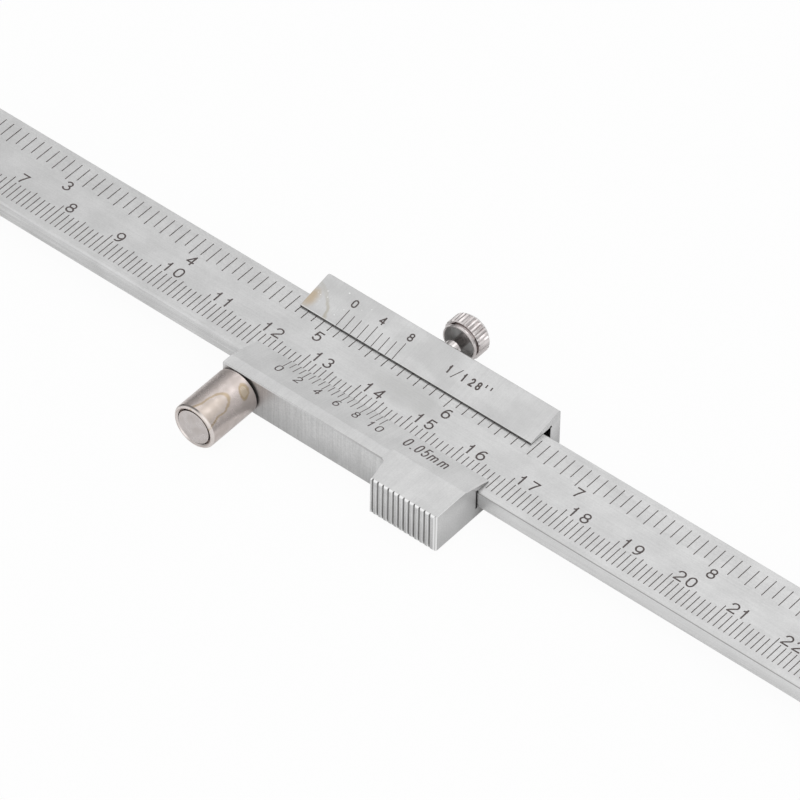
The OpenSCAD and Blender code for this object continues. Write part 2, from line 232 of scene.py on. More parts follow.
def join(name: str, pieces: list[Piece]) -> Piece:
    """Joins pieces into one.

    Args:
        name: Name of the joined piece.
        pieces: Pieces to join.

    Returns:
        The joined piece.
    """
    select_only(*pieces)
    if len(pieces) > 1:
        bpy.ops.object.join()
    pieces[0].name = name
    return pieces[0]


def turned(name: str, outline: list[Pair], steps: int = 96) -> Piece:
    """Turns an outline round the Z axis, as on a lathe.

    Args:
        name: Name of the new object.
        outline: Radius and height of each point in millimetres, from the foot to the top.
        steps: Number of flats round the axis.

    Returns:
        The turned piece, upright at the origin.
    """
    bpy.ops.object.select_all(action="DESELECT")
    bpy.ops.mesh.primitive_plane_add(size=MM)
    piece = bpy.context.object
    piece.name = name
    bpy.ops.object.mode_set(mode="EDIT")
    bpy.ops.mesh.select_mode(type="VERT")
    bpy.ops.mesh.select_all(action="SELECT")
    bpy.ops.mesh.merge(type="CENTER")
    points = [Vector((radius * MM, 0, height * MM)) for radius, height in outline]
    bpy.ops.transform.translate(value=points[0])
    for last, point in zip(points, points[1:]):
        bpy.ops.mesh.extrude_vertices_move(TRANSFORM_OT_translate={"value": point - last})
    bpy.ops.mesh.select_all(action="SELECT")
    bpy.ops.mesh.spin(steps=steps, angle=math.tau, center=(0, 0, 0), axis=(0, 0, 1))
    bpy.ops.mesh.select_all(action="SELECT")
    bpy.ops.mesh.remove_doubles(threshold=MERGE_DISTANCE)
    bpy.ops.mesh.normals_make_consistent(inside=False)
    bpy.ops.object.mode_set(mode="OBJECT")
    return piece


def node_copy(node: str, name: str) -> Piece:
    """Copies a CAD node's mesh and merges its loose triangles into whole faces.

    Args:
        node: Name of the CAD node.
        name: Name of the copy.

    Returns:
        The copy, in the node's place.
    """
    piece = bpy.data.objects.new(name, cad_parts[node].data.copy())
    bpy.context.scene.collection.objects.link(piece)
    piece.data.materials.clear()
    select_only(piece)
    bpy.ops.object.mode_set(mode="EDIT")
    bpy.ops.mesh.select_all(action="SELECT")
    bpy.ops.mesh.remove_doubles(threshold=MERGE_DISTANCE)
    bpy.ops.mesh.customdata_custom_splitnormals_clear()
    bpy.ops.mesh.dissolve_limited(angle_limit=FLAT_ANGLE)
    bpy.ops.object.mode_set(mode="OBJECT")
    return piece


def soften_edges(piece: Piece, width: float, least_length: float,
                 least_angle: float = 20.0, segments: int = 2) -> Piece:
    """Rounds a piece's sharp outward edges, so that they catch the light as real ones do.

    Args:
        piece: Piece to change.
        width: Width of the rounding in millimetres.
        least_length: Shortest edge in millimetres that is rounded.
        least_angle: Smallest angle in degrees between the faces of a rounded edge.
        segments: Number of faces across the rounding.

    Returns:
        The same piece.
    """
    select_only(piece)
    bpy.ops.object.mode_set(mode="EDIT")
    bpy.ops.mesh.select_mode(type="EDGE")
    bpy.ops.mesh.select_all(action="DESELECT")
    shape = bmesh.from_edit_mesh(piece.data)
    for edge in shape.edges:
        if edge.calc_length() >= least_length * MM and edge.is_manifold:
            edge.select_set(edge.calc_face_angle_signed() > math.radians(least_angle))
    bmesh.update_edit_mesh(piece.data)
    bpy.ops.mesh.bevel(offset=width * MM, segments=segments, affect="EDGES",
                       clamp_overlap=False)
    bpy.ops.object.mode_set(mode="OBJECT")
    return smooth(piece, angle=10)


# Finishes


SMOOTH = {"interpolation_type": "SMOOTHSTEP"}
COLOURS = {"data_type": "RGBA"}
TIMES = {"operation": "MULTIPLY"}
LESS = {"operation": "SUBTRACT"}
ABOVE = {"operation": "GREATER_THAN"}
BELOW = {"operation": "LESS_THAN"}
SIZE = {"operation": "ABSOLUTE"}
# Values between which nearly all of a noise lies
NOISE = (0.3, 0.7)


def greatest(tree: Tree, *values: Source) -> Source:
    """Gives the greatest of some values.

    Args:
        tree: Node tree that takes the nodes.
        *values: What gives the values.

    Returns:
        What gives the greatest one.
    """
    found = values[0]
    for value in values[1:]:
        found = add_node(tree, "Math", {"operation": "MAXIMUM"}, {0: found, 1: value})
    return found


def overlap(tree: Tree, *shares: Source | float | tuple) -> Source:
    """Gives the share of the place where several shares overlap, which is their product.

    Args:
        tree: Node tree of the material.
        *shares: Nodes, outputs or numbers, or smooth fades. A fade is a value, the two values
            that it fades between and, where they aren't 0 and 1, the shares at those two.

    Returns:
        What gives the share.
    """
    found, *others = (
        add_node(tree, "MapRange", SMOOTH, dict(enumerate(share)))
        if isinstance(share, tuple) else share for share in shares)
    for share in others:
        found = add_node(tree, "Math", TIMES, {0: found, 1: share})
    return found


def layered(tree: Tree, colour: Node, *layers: tuple[Source, str]) -> Node:
    """Lays stains over a colour in their order.

    Args:
        tree: Node tree of the material.
        colour: Node that gives the colour.
        *layers: Share and hex colour of each stain.

    Returns:
        Node that gives the stained colour.
    """
    for share, stain in layers:
        colour = add_node(tree, "Mix", COLOURS, {0: share, 6: colour, 7: linear(stain)})
    return colour


def lumps(tree: Tree, coords: Source, size: float, stretch: Triple = (1, 1, 1),
          detail: float = 2.0) -> Node:
    """Adds noise whose lumps have a real size.

    Args:
        tree: Node tree of the material.
        coords: What gives coordinates in metres.
        size: Size of a lump in millimetres.
        stretch: How many times longer a lump is along X, Y and Z.
        detail: Number of finer layers.

    Returns:
        Node that gives a value around 0.5.
    """
    sized = add_node(tree, "Mapping", inputs={
        "Vector": coords, "Scale": [1 / (size * MM * times) for times in stretch]})
    return add_node(tree, "TexNoise", inputs={"Vector": sized, "Scale": 1.0, "Detail": detail})


def wobbled(tree: Tree, places: Source, coords: Source, size: float, reach: float) -> Node:
    """Shifts places to and fro along X and Y, so that what they outline looks natural.

    Args:
        tree: Node tree of the material.
        places: What gives the places in metres.
        coords: What gives the surface's coordinates in metres.
        size: Size in millimetres of the lumps that shift together.
        reach: Largest shift in millimetres.

    Returns:
        Node that gives the shifted places.
    """
    shifted = add_node(tree, "VectorMath", {"operation": "MULTIPLY_ADD"}, {
        0: lumps(tree, coords, size), 1: (2 * reach * MM, 2 * reach * MM, 0), 2: places})
    return add_node(tree, "VectorMath", LESS, {
        0: shifted, 1: (reach * MM, reach * MM, 0)})


def oval_distance(tree: Tree, places: Source, centre: Pair, reach: Pair,
                  turn: float = 0.0) -> Node:
    """Measures how far places are from an oval's centre, which is 1 on the oval itself.

    Args:
        tree: Node tree of the material.
        places: What gives places in metres, of which the first two coordinates count.
        centre: The oval's centre in millimetres.
        reach: Half its length and width in millimetres.
        turn: How far it is turned, in degrees.

    Returns:
        Node that gives the distance.
    """
    moved = add_node(tree, "Mapping", {"vector_type": "TEXTURE"}, {
        "Vector": places, "Location": (*metres(*centre), 0),
        "Rotation": (0, 0, math.radians(turn)), "Scale": (*metres(*reach), 1)})
    return add_node(tree, "VectorMath", {"operation": "LENGTH"}, {0: moved})


def tide_line(tree: Tree, distance: Node, width: float, share: float) -> Source:
    """Gives the share of a thin dried line that lies where a distance is 1.

    Args:
        tree: Node tree of the material.
        distance: Node that gives the distance.
        width: Half the line's width, as a difference in the distance.
        share: Share of the line in its middle.

    Returns:
        What gives the share.
    """
    away = add_node(tree, "Math", SIZE, {
        0: add_node(tree, "Math", LESS, {0: distance, 1: 1.0})})
    return overlap(tree, (away, width / 4, width, share, 0.0))


def normal_parts(tree: Tree) -> bpy.types.NodeOutputs:
    """Gives the X, Y and Z of the way that a face looks."""
    normal = add_node(tree, "TexCoord").outputs["Normal"]
    return add_node(tree, "SeparateXYZ", inputs={0: normal}).outputs


class Finish(ABC):
    """A surface finish that can dress a piece."""

    name: str

    @abstractmethod
    def shade(self, tree: Tree, coords: Source) -> Node:
        """Adds the finish's nodes to a material.

        Args:
            tree: Node tree of the material.
            coords: What gives Object coordinates, in metres.

        Returns:
            The material's shader.
        """

    def stains_and_painted_light(self, tree: Tree, coords: Source, colour: Node) -> Node:
        """Gives the colour with its stains and any painted light and shade, here none."""
        return colour

    def material(self) -> bpy.types.Material:
        """Builds the material once and gives the same one after that.

        Returns:
            The material.
        """
        known = bpy.data.materials.get(self.name)
        if known:
            return known
        material, tree = empty_material(self.name)
        coords = add_node(tree, "TexCoord").outputs["Object"]
        add_node(tree, "OutputMaterial", inputs={"Surface": self.shade(tree, coords)})
        return material


class Grain(Enum):
    """Direction of a ground surface's fine lines, as how much longer they are each way."""

    ALONG = (60, 1, 1)
    ACROSS = (1, 60, 60)


@dataclass(frozen=True)
class SatinStainless(Finish):
    """Stainless steel, ground and satin finished.

    Real object: the hardened stainless steel of calipers. The light grey is even and soft, with
    fine grit and grinding lines, faint cloudy patches and no clear reflections. The lines of
    real grinding are finer than the render can show, so these are drawn 0.16 mm apart. Sizes
    are millimetres, and of two contrasts the first is for upright faces, the second for the top.
    """

    name: str = "stainless_steel_satin"
    grain: Grain = Grain.ALONG
    light: str = "#d6d6d6"
    dark: str = "#cdcdcd"
    cloud_size: float = 5.0
    line_size: float = 0.16
    line_depth: float = 0.0015
    line_contrasts: Pair = (0.12, 0.04)
    grit_size: float = 0.25
    grit_contrasts: Pair = (0.12, 0.06)
    streak_size: float = 0.8
    streak_contrasts: Pair = (0.06, 0.0)
    roughness: float = 0.34
    uneven_gloss: float = 0.04
    relief: float = 0.6

    def shade(self, tree: Tree, coords: Source) -> Node:
        """Adds clouds, grit and grinding lines to the colour, the roughness and the relief.

        Args:
            tree: Node tree of the material.
            coords: What gives Object coordinates, in metres.

        Returns:
            The material's shader.
        """
        clouds = lumps(tree, coords, self.cloud_size, detail=3)
        lines = lumps(tree, coords, self.line_size, self.grain.value)
        colour = add_node(tree, "Mix", COLOURS, {
            0: overlap(tree, (clouds, *NOISE)), 6: linear(self.dark), 7: linear(self.light)})
        colour = add_node(tree, "Mix", {**COLOURS, "blend_type": "MULTIPLY"}, {
            0: 1.0, 6: colour, 7: self.lightness(tree, coords, lines)})
        gloss = overlap(tree, (lines, *NOISE, self.roughness - self.uneven_gloss,
                               self.roughness + self.uneven_gloss))
        bump = add_node(tree, "Bump", inputs={
            "Strength": self.relief, "Distance": self.line_depth * MM, "Height": lines})
        return add_node(tree, "BsdfPrincipled", inputs={
            "Base Color": self.stains_and_painted_light(tree, coords, colour), "Metallic": 1.0,
            "Roughness": gloss, "Normal": bump})

    def lightness(self, tree: Tree, coords: Source, lines: Node) -> Node:
        """Gives how light the lines, the grit and the streaks leave the steel's colour.

        Args:
            tree: Node tree of the material.
            coords: What gives Object coordinates, in metres.
            lines: Node that gives the grinding lines.

        Returns:
            Node that gives a value around 1.
        """
        upward = add_node(tree, "Math", SIZE, {0: normal_parts(tree)["Z"]})
        light = 1.0
        for pattern, contrasts in (
                (lines, self.line_contrasts),
                (lumps(tree, coords, self.grit_size), self.grit_contrasts),
                (lumps(tree, coords, self.streak_size, self.grain.value),
                 self.streak_contrasts)):
            darker = overlap(tree, (upward, 0.3, 0.8, *contrasts),
                             (pattern, *NOISE, -0.5, 0.5))
            light = add_node(tree, "Math", LESS, {0: light, 1: darker})
        return light


@dataclass(frozen=True)
class BeamSteel(SatinStainless):
    """The beam's steel, with a painted sheen on its front side under a painted dark edge line.

    Both begin to show along X, in millimetres, between the two places of the _from field. A
    faint grey patch on top, between the slider's lips, is painted shade with some oil haze.
    """

    name: str = "stainless_steel_satin_beam"
    streak_contrasts: Pair = (0.14, 0.0)
    # Painted sheen: the front side painted lighter towards its top and to the right
    sheen_and_specks: str = "#f2f2f2"
    sheen_share: float = 0.42
    sheen_and_shade_from: Pair = (125.0, 175.0)
    foot: float = 2.65
    top: float = 5.85
    # Painted shade: a dark line along the top front edge, towards the right
    edge_shade: str = "#8a8988"
    edge_shade_share: float = 0.8
    edge_shade_below_top: Pair = (0.18, 0.1)
    # Darker patch on top between the slider's lips: painted shade with some oil haze
    haze: str = "#b6b6b5"
    haze_and_shade_share: float = 0.4
    haze_and_shade_centre: Pair = (146.0, 0.8)
    haze_and_shade_reach: Pair = (9.0, 3.6)
    haze_and_shade_wobble: Pair = (6.0, 2.0)

    def stains_and_painted_light(self, tree: Tree, coords: Source, colour: Node) -> Node:
        """Adds a faint darker patch on top, the side's painted sheen and the edge's painted shade.

        Args:
            tree: Node tree of the material.
            coords: What gives Object coordinates, in metres.
            colour: Node that gives the clean colour.

        Returns:
            Node that gives the soiled colour.
        """
        parts = add_node(tree, "SeparateXYZ", inputs={0: coords}).outputs
        normal = normal_parts(tree)
        # Darker patch between the slider's lips: painted shade with some oil haze
        haze = oval_distance(tree, wobbled(tree, coords, coords, *self.haze_and_shade_wobble),
                             self.haze_and_shade_centre, self.haze_and_shade_reach)
        right = (parts["X"], *metres(*self.sheen_and_shade_from))
        # Painted sheen on the front side, stronger towards the top and to the right
        side = overlap(tree, right, (normal["Y"], -0.8, -0.95), (
            parts["Z"], *metres(self.foot, self.top), 0.5 * self.sheen_share,
            self.sheen_share))
        # Painted shade: a dark line along the top front edge, towards the right
        edge = overlap(tree, right, (normal["Y"], -0.15, -0.35), (normal["Z"], 0.15, 0.35), (
            parts["Z"], *metres(*(self.top - below for below in self.edge_shade_below_top)),
            self.edge_shade_share, 0.0))
        return layered(tree, colour,
                       (overlap(tree, (haze, 0.5, 1.0, self.haze_and_shade_share, 0.0)), self.haze),
                       (side, self.sheen_and_specks), (edge, self.edge_shade))


@dataclass(frozen=True)
class SliderSteel(SatinStainless):
    """The slider's steel: dried oil on the rear lip, painted highlights on the pad, painted shade
    in its grooves.

    Places are millimetres along X, Y and Z. Names with from or heights give the two places that
    something fades between, and shares its strength at both. A reach is half an oval's length
    and width, and a wobble is the size and the reach of the lumps that bend an outline. The
    painted shade under the front edge begins pad_depth behind the pad's face.
    """

    name: str = "stainless_steel_satin_slider"
    grain: Grain = Grain.ACROSS
    lip_from: float = 4.0
    lip_edge: float = 4.8
    film: str = "#b9a587"
    film_share: float = 0.75
    film_centre: Pair = (122.5, 6.8)
    film_reach: Pair = (1.8, 2.6)
    tide: str = "#a8a08a"
    tide_share: float = 0.5
    tide_width: float = 0.06
    tide_centre: Pair = (119.0, 3.0)
    tide_reach: Pair = (8.05, 7.2)
    tide_fades_from: Pair = (6.0, 9.0)
    tide_left: float = 0.35
    oil_wobble: Pair = (1.6, 0.5)
    specks_centre: Pair = (128.0, 8.8)
    specks_reach: Pair = (5.5, 3.0)
    speck_spacing: float = 0.6
    speck_size: float = 0.25
    speck_share: float = 0.65
    haze: str = "#b2b2b2"
    haze_size: float = 4.0
    haze_shares: Pair = (0.0, 0.34)
    # Pale colour of the real specks, and of the painted highlights on the lip's edge and the pad
    sheen_and_specks: str = "#f4f4f4"
    # Painted highlight along the rear lip's edge, fading to the right
    lip_highlight_from: Pair = (125.0, 133.0)
    lip_highlight_shares: Pair = (0.45, 0.1)
    # Painted shade: upright faces darker towards the bottom
    side: str = "#8e8e8e"
    side_shade_heights: Pair = (0.8, 6.4)
    side_shade_shares: Pair = (0.33, 0.0)
    # Painted shade in the pad's grooves, on the rear lip's edge face and under the front edge, and
    # painted shade with some dirt on the end face by the beam
    shade_and_dirt: str = "#5c5a58"
    # Painted shade with some dirt on the right end face, darker towards the beam
    end_shade_and_dirt_from: Pair = (-9.5, -6.5)
    end_shade_and_dirt_share: float = 0.6
    # Painted shadow line under the front top edge, stronger towards the pad
    under_edge_shade_from: Pair = (135.0, 160.0)
    under_edge_shade_shares: Pair = (0.15, 0.55)
    # Painted shade on the rear lip's edge face, over the gap to the beam
    lip_shade_share: float = 0.9
    pad_top: float = 7.85
    pad_face: float = -17.8
    pad_chamfer: float = 0.3
    pad_depth: float = 2.0
    groove_first: float = 166.2
    groove_pitch: float = 1.0
    groove_w: float = 0.5
    groove_depth: float = 0.45
    # Painted shade in the pad's grooves, darker deeper in
    groove_shade_share: float = 0.75

    def stains_and_painted_light(self, tree: Tree, coords: Source, colour: Node) -> Node:
        """Adds the dried oil, painted shade on the sides, painted edge highlights, and painted
        shade with a little dirt.

        Args:
            tree: Node tree of the material.
            coords: What gives Object coordinates, in metres.
            colour: Node that gives the clean colour.

        Returns:
            Node that gives the soiled colour.
        """
        parts = add_node(tree, "SeparateXYZ", inputs={0: coords}).outputs
        normal = normal_parts(tree)
        upward = add_node(tree, "Math", SIZE, {0: normal["Z"]})
        # Painted shade: upright faces darker towards the bottom
        side_shade = overlap(tree, (upward, 0.2, 0.5, 1.0, 0.0), (
            parts["Z"], *metres(*self.side_shade_heights), *self.side_shade_shares))
        # Over the oil: painted shade low on the sides, painted edge highlights, then painted shade
        # with a little dirt
        return layered(tree, self.oil_and_lip_highlight(tree, coords, parts, colour),
                       (side_shade, self.side),
                       (self.on_edge_highlights(tree, parts, normal), self.sheen_and_specks),
                       (self.on_shaded_places(tree, parts, normal), self.shade_and_dirt))

    def oil_and_lip_highlight(self, tree: Tree, coords: Source, parts: bpy.types.NodeOutputs,
              colour: Node) -> Node:
        """Adds what lies on the rear lip (haze, the brown film with its tide line, specks) and a
        painted highlight on its edge.

        Args:
            tree: Node tree of the material.
            coords: What gives Object coordinates, in metres.
            parts: The coordinates' X, Y and Z.
            colour: Node that gives the clean colour.

        Returns:
            Node that gives the soiled colour.
        """
        places = wobbled(tree, coords, coords, *self.oil_wobble)
        on_lip = add_node(tree, "Math", ABOVE, {0: parts["Y"], 1: self.lip_from * MM})
        haze = lumps(tree, coords, self.haze_size, (2, 1, 1))
        film = oval_distance(tree, places, self.film_centre, self.film_reach)
        tide = oval_distance(tree, places, self.tide_centre, self.tide_reach)
        return layered(
            tree, colour,
            (overlap(tree, on_lip, (haze, 0.35, 0.65, *self.haze_shares)), self.haze),
            (overlap(tree, on_lip, (film, 0.2, 1.0, self.film_share, 0.0)), self.film),
            (overlap(tree, on_lip, tide_line(tree, tide, self.tide_width, self.tide_share),
                     (parts["Y"], *metres(*self.tide_fades_from), 1.0, self.tide_left)),
             self.tide),
            (overlap(tree, on_lip, self.specks(tree, coords)), self.sheen_and_specks),
            # Painted highlight along the rear lip's edge, fading to the right
            (overlap(tree, on_lip,
                     (parts["X"], *metres(*self.lip_highlight_from), *self.lip_highlight_shares),
                     (parts["Y"], *metres(self.lip_edge + 0.1, self.lip_edge + 0.18), 1.0, 0.0)),
             self.sheen_and_specks))

    def specks(self, tree: Tree, coords: Source) -> Source:
        """Gives the share of the pale specks scattered over the rear lip's left end.

        Args:
            tree: Node tree of the material.
            coords: What gives Object coordinates, in metres.

        Returns:
            What gives the share.
        """
        sized = add_node(tree, "Mapping", inputs={
            "Vector": coords, "Scale": [1 / (self.speck_spacing * MM)] * 2 + [0]})
        cells = add_node(tree, "TexVoronoi", inputs={"Vector": sized, "Scale": 1.0}).outputs
        chance = add_node(tree, "SeparateXYZ", inputs={0: cells["Color"]}).outputs["X"]
        size = add_node(tree, "MapRange", inputs={
            0: chance, 1: 0.3, 2: 1.0, 3: 0.0, 4: self.speck_size})
        away = oval_distance(tree, coords, self.specks_centre, self.specks_reach)
        return overlap(tree, add_node(tree, "Math", BELOW, {0: cells["Distance"], 1: size}),
                       (away, 0.9, 1.0, self.speck_share, 0.0))

    def on_edge_highlights(self, tree: Tree, parts: bpy.types.NodeOutputs,
                        normal: bpy.types.NodeOutputs) -> Source:
        """Gives the share of painted highlight on the pad's upper chamfer, its right corner and
        the end's top edge.

        Args:
            tree: Node tree of the material.
            parts: The coordinates' X, Y and Z.
            normal: X, Y and Z of the way that a face looks.

        Returns:
            What gives the share.
        """
        reached = self.pad_top - self.pad_face - self.pad_chamfer
        outward = add_node(tree, "Math", LESS, {0: parts["Z"], 1: parts["Y"]})
        tips = overlap(tree, (outward, *metres(reached - 0.1, reached)),
                       (parts["Z"], *metres(self.pad_top - 0.28, self.pad_top - 0.12)))
        to_right = (normal["X"], 0.3, 0.5)
        corner = overlap(tree, to_right, (normal["Y"], -0.3, -0.5), add_node(
            tree, "Math", BELOW, {
                0: parts["Y"], 1: (self.pad_face + 2 * self.pad_chamfer) * MM}))
        end_edge = overlap(tree, to_right, (normal["Z"], 0.3, 0.5), add_node(
            tree, "Math", BELOW, {0: parts["Y"], 1: self.end_shade_and_dirt_from[0] * MM}))
        return greatest(tree, tips, corner, end_edge)

    def on_shaded_places(self, tree: Tree, parts: bpy.types.NodeOutputs,
                        normal: bpy.types.NodeOutputs) -> Source:
        """Gives the share of painted shade in the grooves, by the lip, on the end and under the
        edge; the end also has some dirt.

        Args:
            tree: Node tree of the material.
            parts: The coordinates' X, Y and Z.
            normal: X, Y and Z of the way that a face looks.

        Returns:
            What gives the share.
        """
        on_lip = add_node(tree, "Math", ABOVE, {0: parts["Y"], 1: self.lip_from * MM})
        # Painted shade on the rear lip's edge face over the beam
        by_lip = overlap(tree, on_lip, (normal["Y"], -0.6, -0.95, 0.0, self.lip_shade_share))
        # Painted shade with some dirt on the right end face, darker towards the beam
        in_front = add_node(tree, "Math", BELOW, {0: parts["Y"], 1: 0.0})
        on_end = overlap(tree, in_front, (normal["X"], 0.8, 0.95), (
            parts["Y"], *metres(*self.end_shade_and_dirt_from), 0.0, self.end_shade_and_dirt_share))
        # Painted shadow line under the front top edge, stronger towards the pad
        behind_pad = add_node(tree, "Math", ABOVE, {
            0: parts["Y"], 1: (self.pad_face + self.pad_depth) * MM})
        under_edge = overlap(
            tree, behind_pad, (normal["Y"], -0.3, -0.6),
            (parts["Z"], *metres(self.pad_top - 0.3, self.pad_top - 0.1)),
            (parts["X"], *metres(*self.under_edge_shade_from), *self.under_edge_shade_shares))
        return greatest(tree, self.in_grooves(tree, parts), by_lip, on_end, under_edge)

    def in_grooves(self, tree: Tree, parts: bpy.types.NodeOutputs) -> Source:
        """Gives the share of painted shade down the walls of the pad's grooves, darker deeper in.

        Args:
            tree: Node tree of the material.
            parts: The coordinates' X, Y and Z.

        Returns:
            What gives the share.
        """
        from_first = add_node(tree, "Math", LESS, {
            0: parts["X"], 1: (self.groove_first + self.groove_pitch / 2) * MM})
        along = add_node(tree, "Math", {"operation": "DIVIDE"}, {
            0: from_first, 1: self.groove_pitch * MM})
        share = add_node(tree, "Math", {"operation": "FRACT"}, {0: along})
        across = add_node(tree, "Math", SIZE, {
            0: add_node(tree, "Math", LESS, {0: share, 1: 0.5})})
        depth = add_node(tree, "MapRange", {"clamp": False}, {
            0: parts["Y"], 1: self.pad_face * MM, 2: (self.pad_face + self.groove_depth) * MM})
        wall = add_node(tree, "Math", {"operation": "MULTIPLY_ADD"}, {
            0: across, 1: 2 * self.groove_pitch / self.groove_w, 2: depth})
        return overlap(tree, (wall, 1.05, 1.15, 1.0, 0.0),
                       (depth, 0.1, 0.9, 0.0, self.groove_shade_share))


@dataclass(frozen=True)
class NickelPlate(Finish):
    """Nickel plated steel, turned and polished.

    Real object: bright nickel on turned steel parts. It mirrors its surroundings softly, with
    a warm grey tint and faint turning lines round the axis. Real turning lines are finer than
    the render can show, so these are drawn 0.12 mm apart. Sizes are millimetres.
    """

    name: str = "nickel_plate_turned"
    colour: str = "#d2c8c4"
    shadow: str = "#c7bdb8"
    cloud_size: float = 1.6
    line_size: float = 0.12
    line_depth: float = 0.001
    roughness: float = 0.3
    uneven_gloss: Pair = (-0.04, 0.05)
    relief: float = 0.25

    def shade(self, tree: Tree, coords: Source) -> Node:
        """Adds the tint, the turning lines and an uneven polish.

        Args:
            tree: Node tree of the material.
            coords: What gives Object coordinates, in metres.

        Returns:
            The material's shader.
        """
        clouds = lumps(tree, coords, self.cloud_size, detail=1)
        colour = add_node(tree, "Mix", COLOURS, {
            0: overlap(tree, (clouds, 0.35, 0.7)), 6: linear(self.colour),
            7: linear(self.shadow)})
        gloss = overlap(tree, (clouds, *NOISE, *(
            self.roughness + offset for offset in self.uneven_gloss)))
        bump = add_node(tree, "Bump", inputs={
            "Strength": self.relief, "Distance": self.line_depth * MM,
            "Height": lumps(tree, coords, self.line_size, (40, 1, 40))})
        return add_node(tree, "BsdfPrincipled", inputs={
            "Base Color": self.stains_and_painted_light(tree, coords, colour), "Metallic": 1.0,
            "Roughness": gloss, "Normal": bump})


@dataclass(frozen=True)
class StainedNickelPaintedRim(NickelPlate):
    """The roller's nickel plate, with two stains of dried oil and painted light on the front
    edges.

    Places are millimetres along the roller's axis, and along its girth from the top. A stain's
    film is full inside inner and gone at film_end, as shares of the way to its outline, which
    its tide line follows. The front edges get a painted highlight all round, and a painted dark
    reflection lies on their upper part.
    """

    name: str = "nickel_plate_stained_painted_rim"
    axis: Pair = (0.0, 0.0)
    radius: float = 3.95
    stain: str = "#bba577"
    tide: str = "#a58c5c"
    tide_share: float = 0.55
    arch_centre: Pair = (-21.3, 1.9)
    arch_reach: Pair = (3.2, 1.6)
    arch_flare: float = 0.8
    arch_inner: float = 0.5
    arch_share: float = 0.14
    arch_line: float = 0.16
    spot_centre: Pair = (-15.35, 3.05)
    spot_reach: Pair = (0.75, 1.15)
    spot_turn: float = 32.0
    spot_inner: float = 0.85
    spot_share: float = 0.45
    spot_line: float = 0.34
    film_end: float = 1.03
    oil_wobble: Pair = (1.1, 0.3)
    # Painted highlight on the front edges all round
    sheen_and_specks: str = "#f0ebe8"
    sheen_share: float = 0.5
    # Painted dark reflection on the front edges' upper part
    dark_reflection: str = "#3e3a38"
    dark_reflection_share: float = 0.8

    def stains_and_painted_light(self, tree: Tree, coords: Source, colour: Node) -> Node:
        """Adds an arch from the front end with a brown tide line, an oval spot and painted rim
        light.

        Args:
            tree: Node tree of the material.
            coords: What gives Object coordinates, in metres.
            colour: Node that gives the clean colour.

        Returns:
            Node that gives the soiled colour.
        """
        places = wobbled(tree, self.unrolled(tree, coords), coords, *self.oil_wobble)
        arch = self.arch_distance(tree, places)
        spot = oval_distance(tree, places, self.spot_centre, self.spot_reach, self.spot_turn)
        for distance, inner, share, line in (
                (arch, self.arch_inner, self.arch_share, self.arch_line),
                (spot, self.spot_inner, self.spot_share, self.spot_line)):
            film = overlap(tree, (distance, inner, self.film_end, share, 0.0))
            colour = layered(
                tree, colour, (film, self.stain),
                (tide_line(tree, distance, line, self.tide_share), self.tide))
        normal = normal_parts(tree)
        # Painted highlight on the front edges all round
        sheen_and_specks = overlap(tree, (normal["Y"], -0.3, -0.55), (normal["Y"], -0.96, -0.85),
                         self.sheen_share)
        above = add_node(tree, "Math", ABOVE, {0: normal["Z"], 1: 0.0})
        # Painted dark reflection on the front edges' upper part
        dark_reflection = overlap(tree, above, (normal["Y"], -0.1, -0.3), (normal["Y"], -0.8, -0.6),
                         (normal["X"], -0.8, -0.5), (normal["X"], 0.35, 0.1),
                         self.dark_reflection_share)
        return layered(tree, colour, (sheen_and_specks, self.sheen_and_specks), (dark_reflection, self.dark_reflection))

    def unrolled(self, tree: Tree, coords: Source) -> Node:
        """Gives places along the roller's axis and round its girth.

        Args:
            tree: Node tree of the material.
            coords: What gives Object coordinates, in metres.

        Returns:
            Node that gives the places, in metres.
        """
        parts = add_node(tree, "SeparateXYZ", inputs={0: coords}).outputs
        angle = add_node(tree, "Math", {"operation": "ARCTAN2"}, {
            0: add_node(tree, "Math", LESS, {0: parts["X"], 1: self.axis[0] * MM}),
            1: add_node(tree, "Math", LESS, {0: parts["Z"], 1: self.axis[1] * MM})})
        girth = add_node(tree, "Math", TIMES, {0: angle, 1: self.radius * MM})
        return add_node(tree, "CombineXYZ", inputs={"X": parts["Y"], "Y": girth})

    def arch_distance(self, tree: Tree, places: Source) -> Node:
        """Measures the distance from the arch's middle line, which is 1 on its outline.

        Args:
            tree: Node tree of the material.
            places: What gives unrolled places, in metres.

        Returns:
            Node that gives the distance.
        """
        parts = add_node(tree, "SeparateXYZ", inputs={0: places}).outputs
        beyond, sideways = (
            add_node(tree, "MapRange", {"clamp": False}, {
                0: parts[way], 1: centre * MM, 2: (centre + reach) * MM})
            for way, centre, reach in zip("XY", self.arch_centre, self.arch_reach))
        round_end = add_node(tree, "Math", {"operation": "MAXIMUM"}, {0: beyond, 1: 0.0})
        to_front = add_node(tree, "Math", {"operation": "MINIMUM"}, {0: beyond, 1: 0.0})
        wide = add_node(tree, "Math", {"operation": "MULTIPLY_ADD"}, {
            0: add_node(tree, "Math", TIMES, {0: to_front, 1: to_front}),
            1: self.arch_flare, 2: 1.0})
        across = add_node(tree, "Math", {"operation": "DIVIDE"}, {0: sideways, 1: wide})
        both = add_node(tree, "CombineXYZ", inputs={"X": round_end, "Y": across})
        return add_node(tree, "VectorMath", {"operation": "LENGTH"}, {0: both})


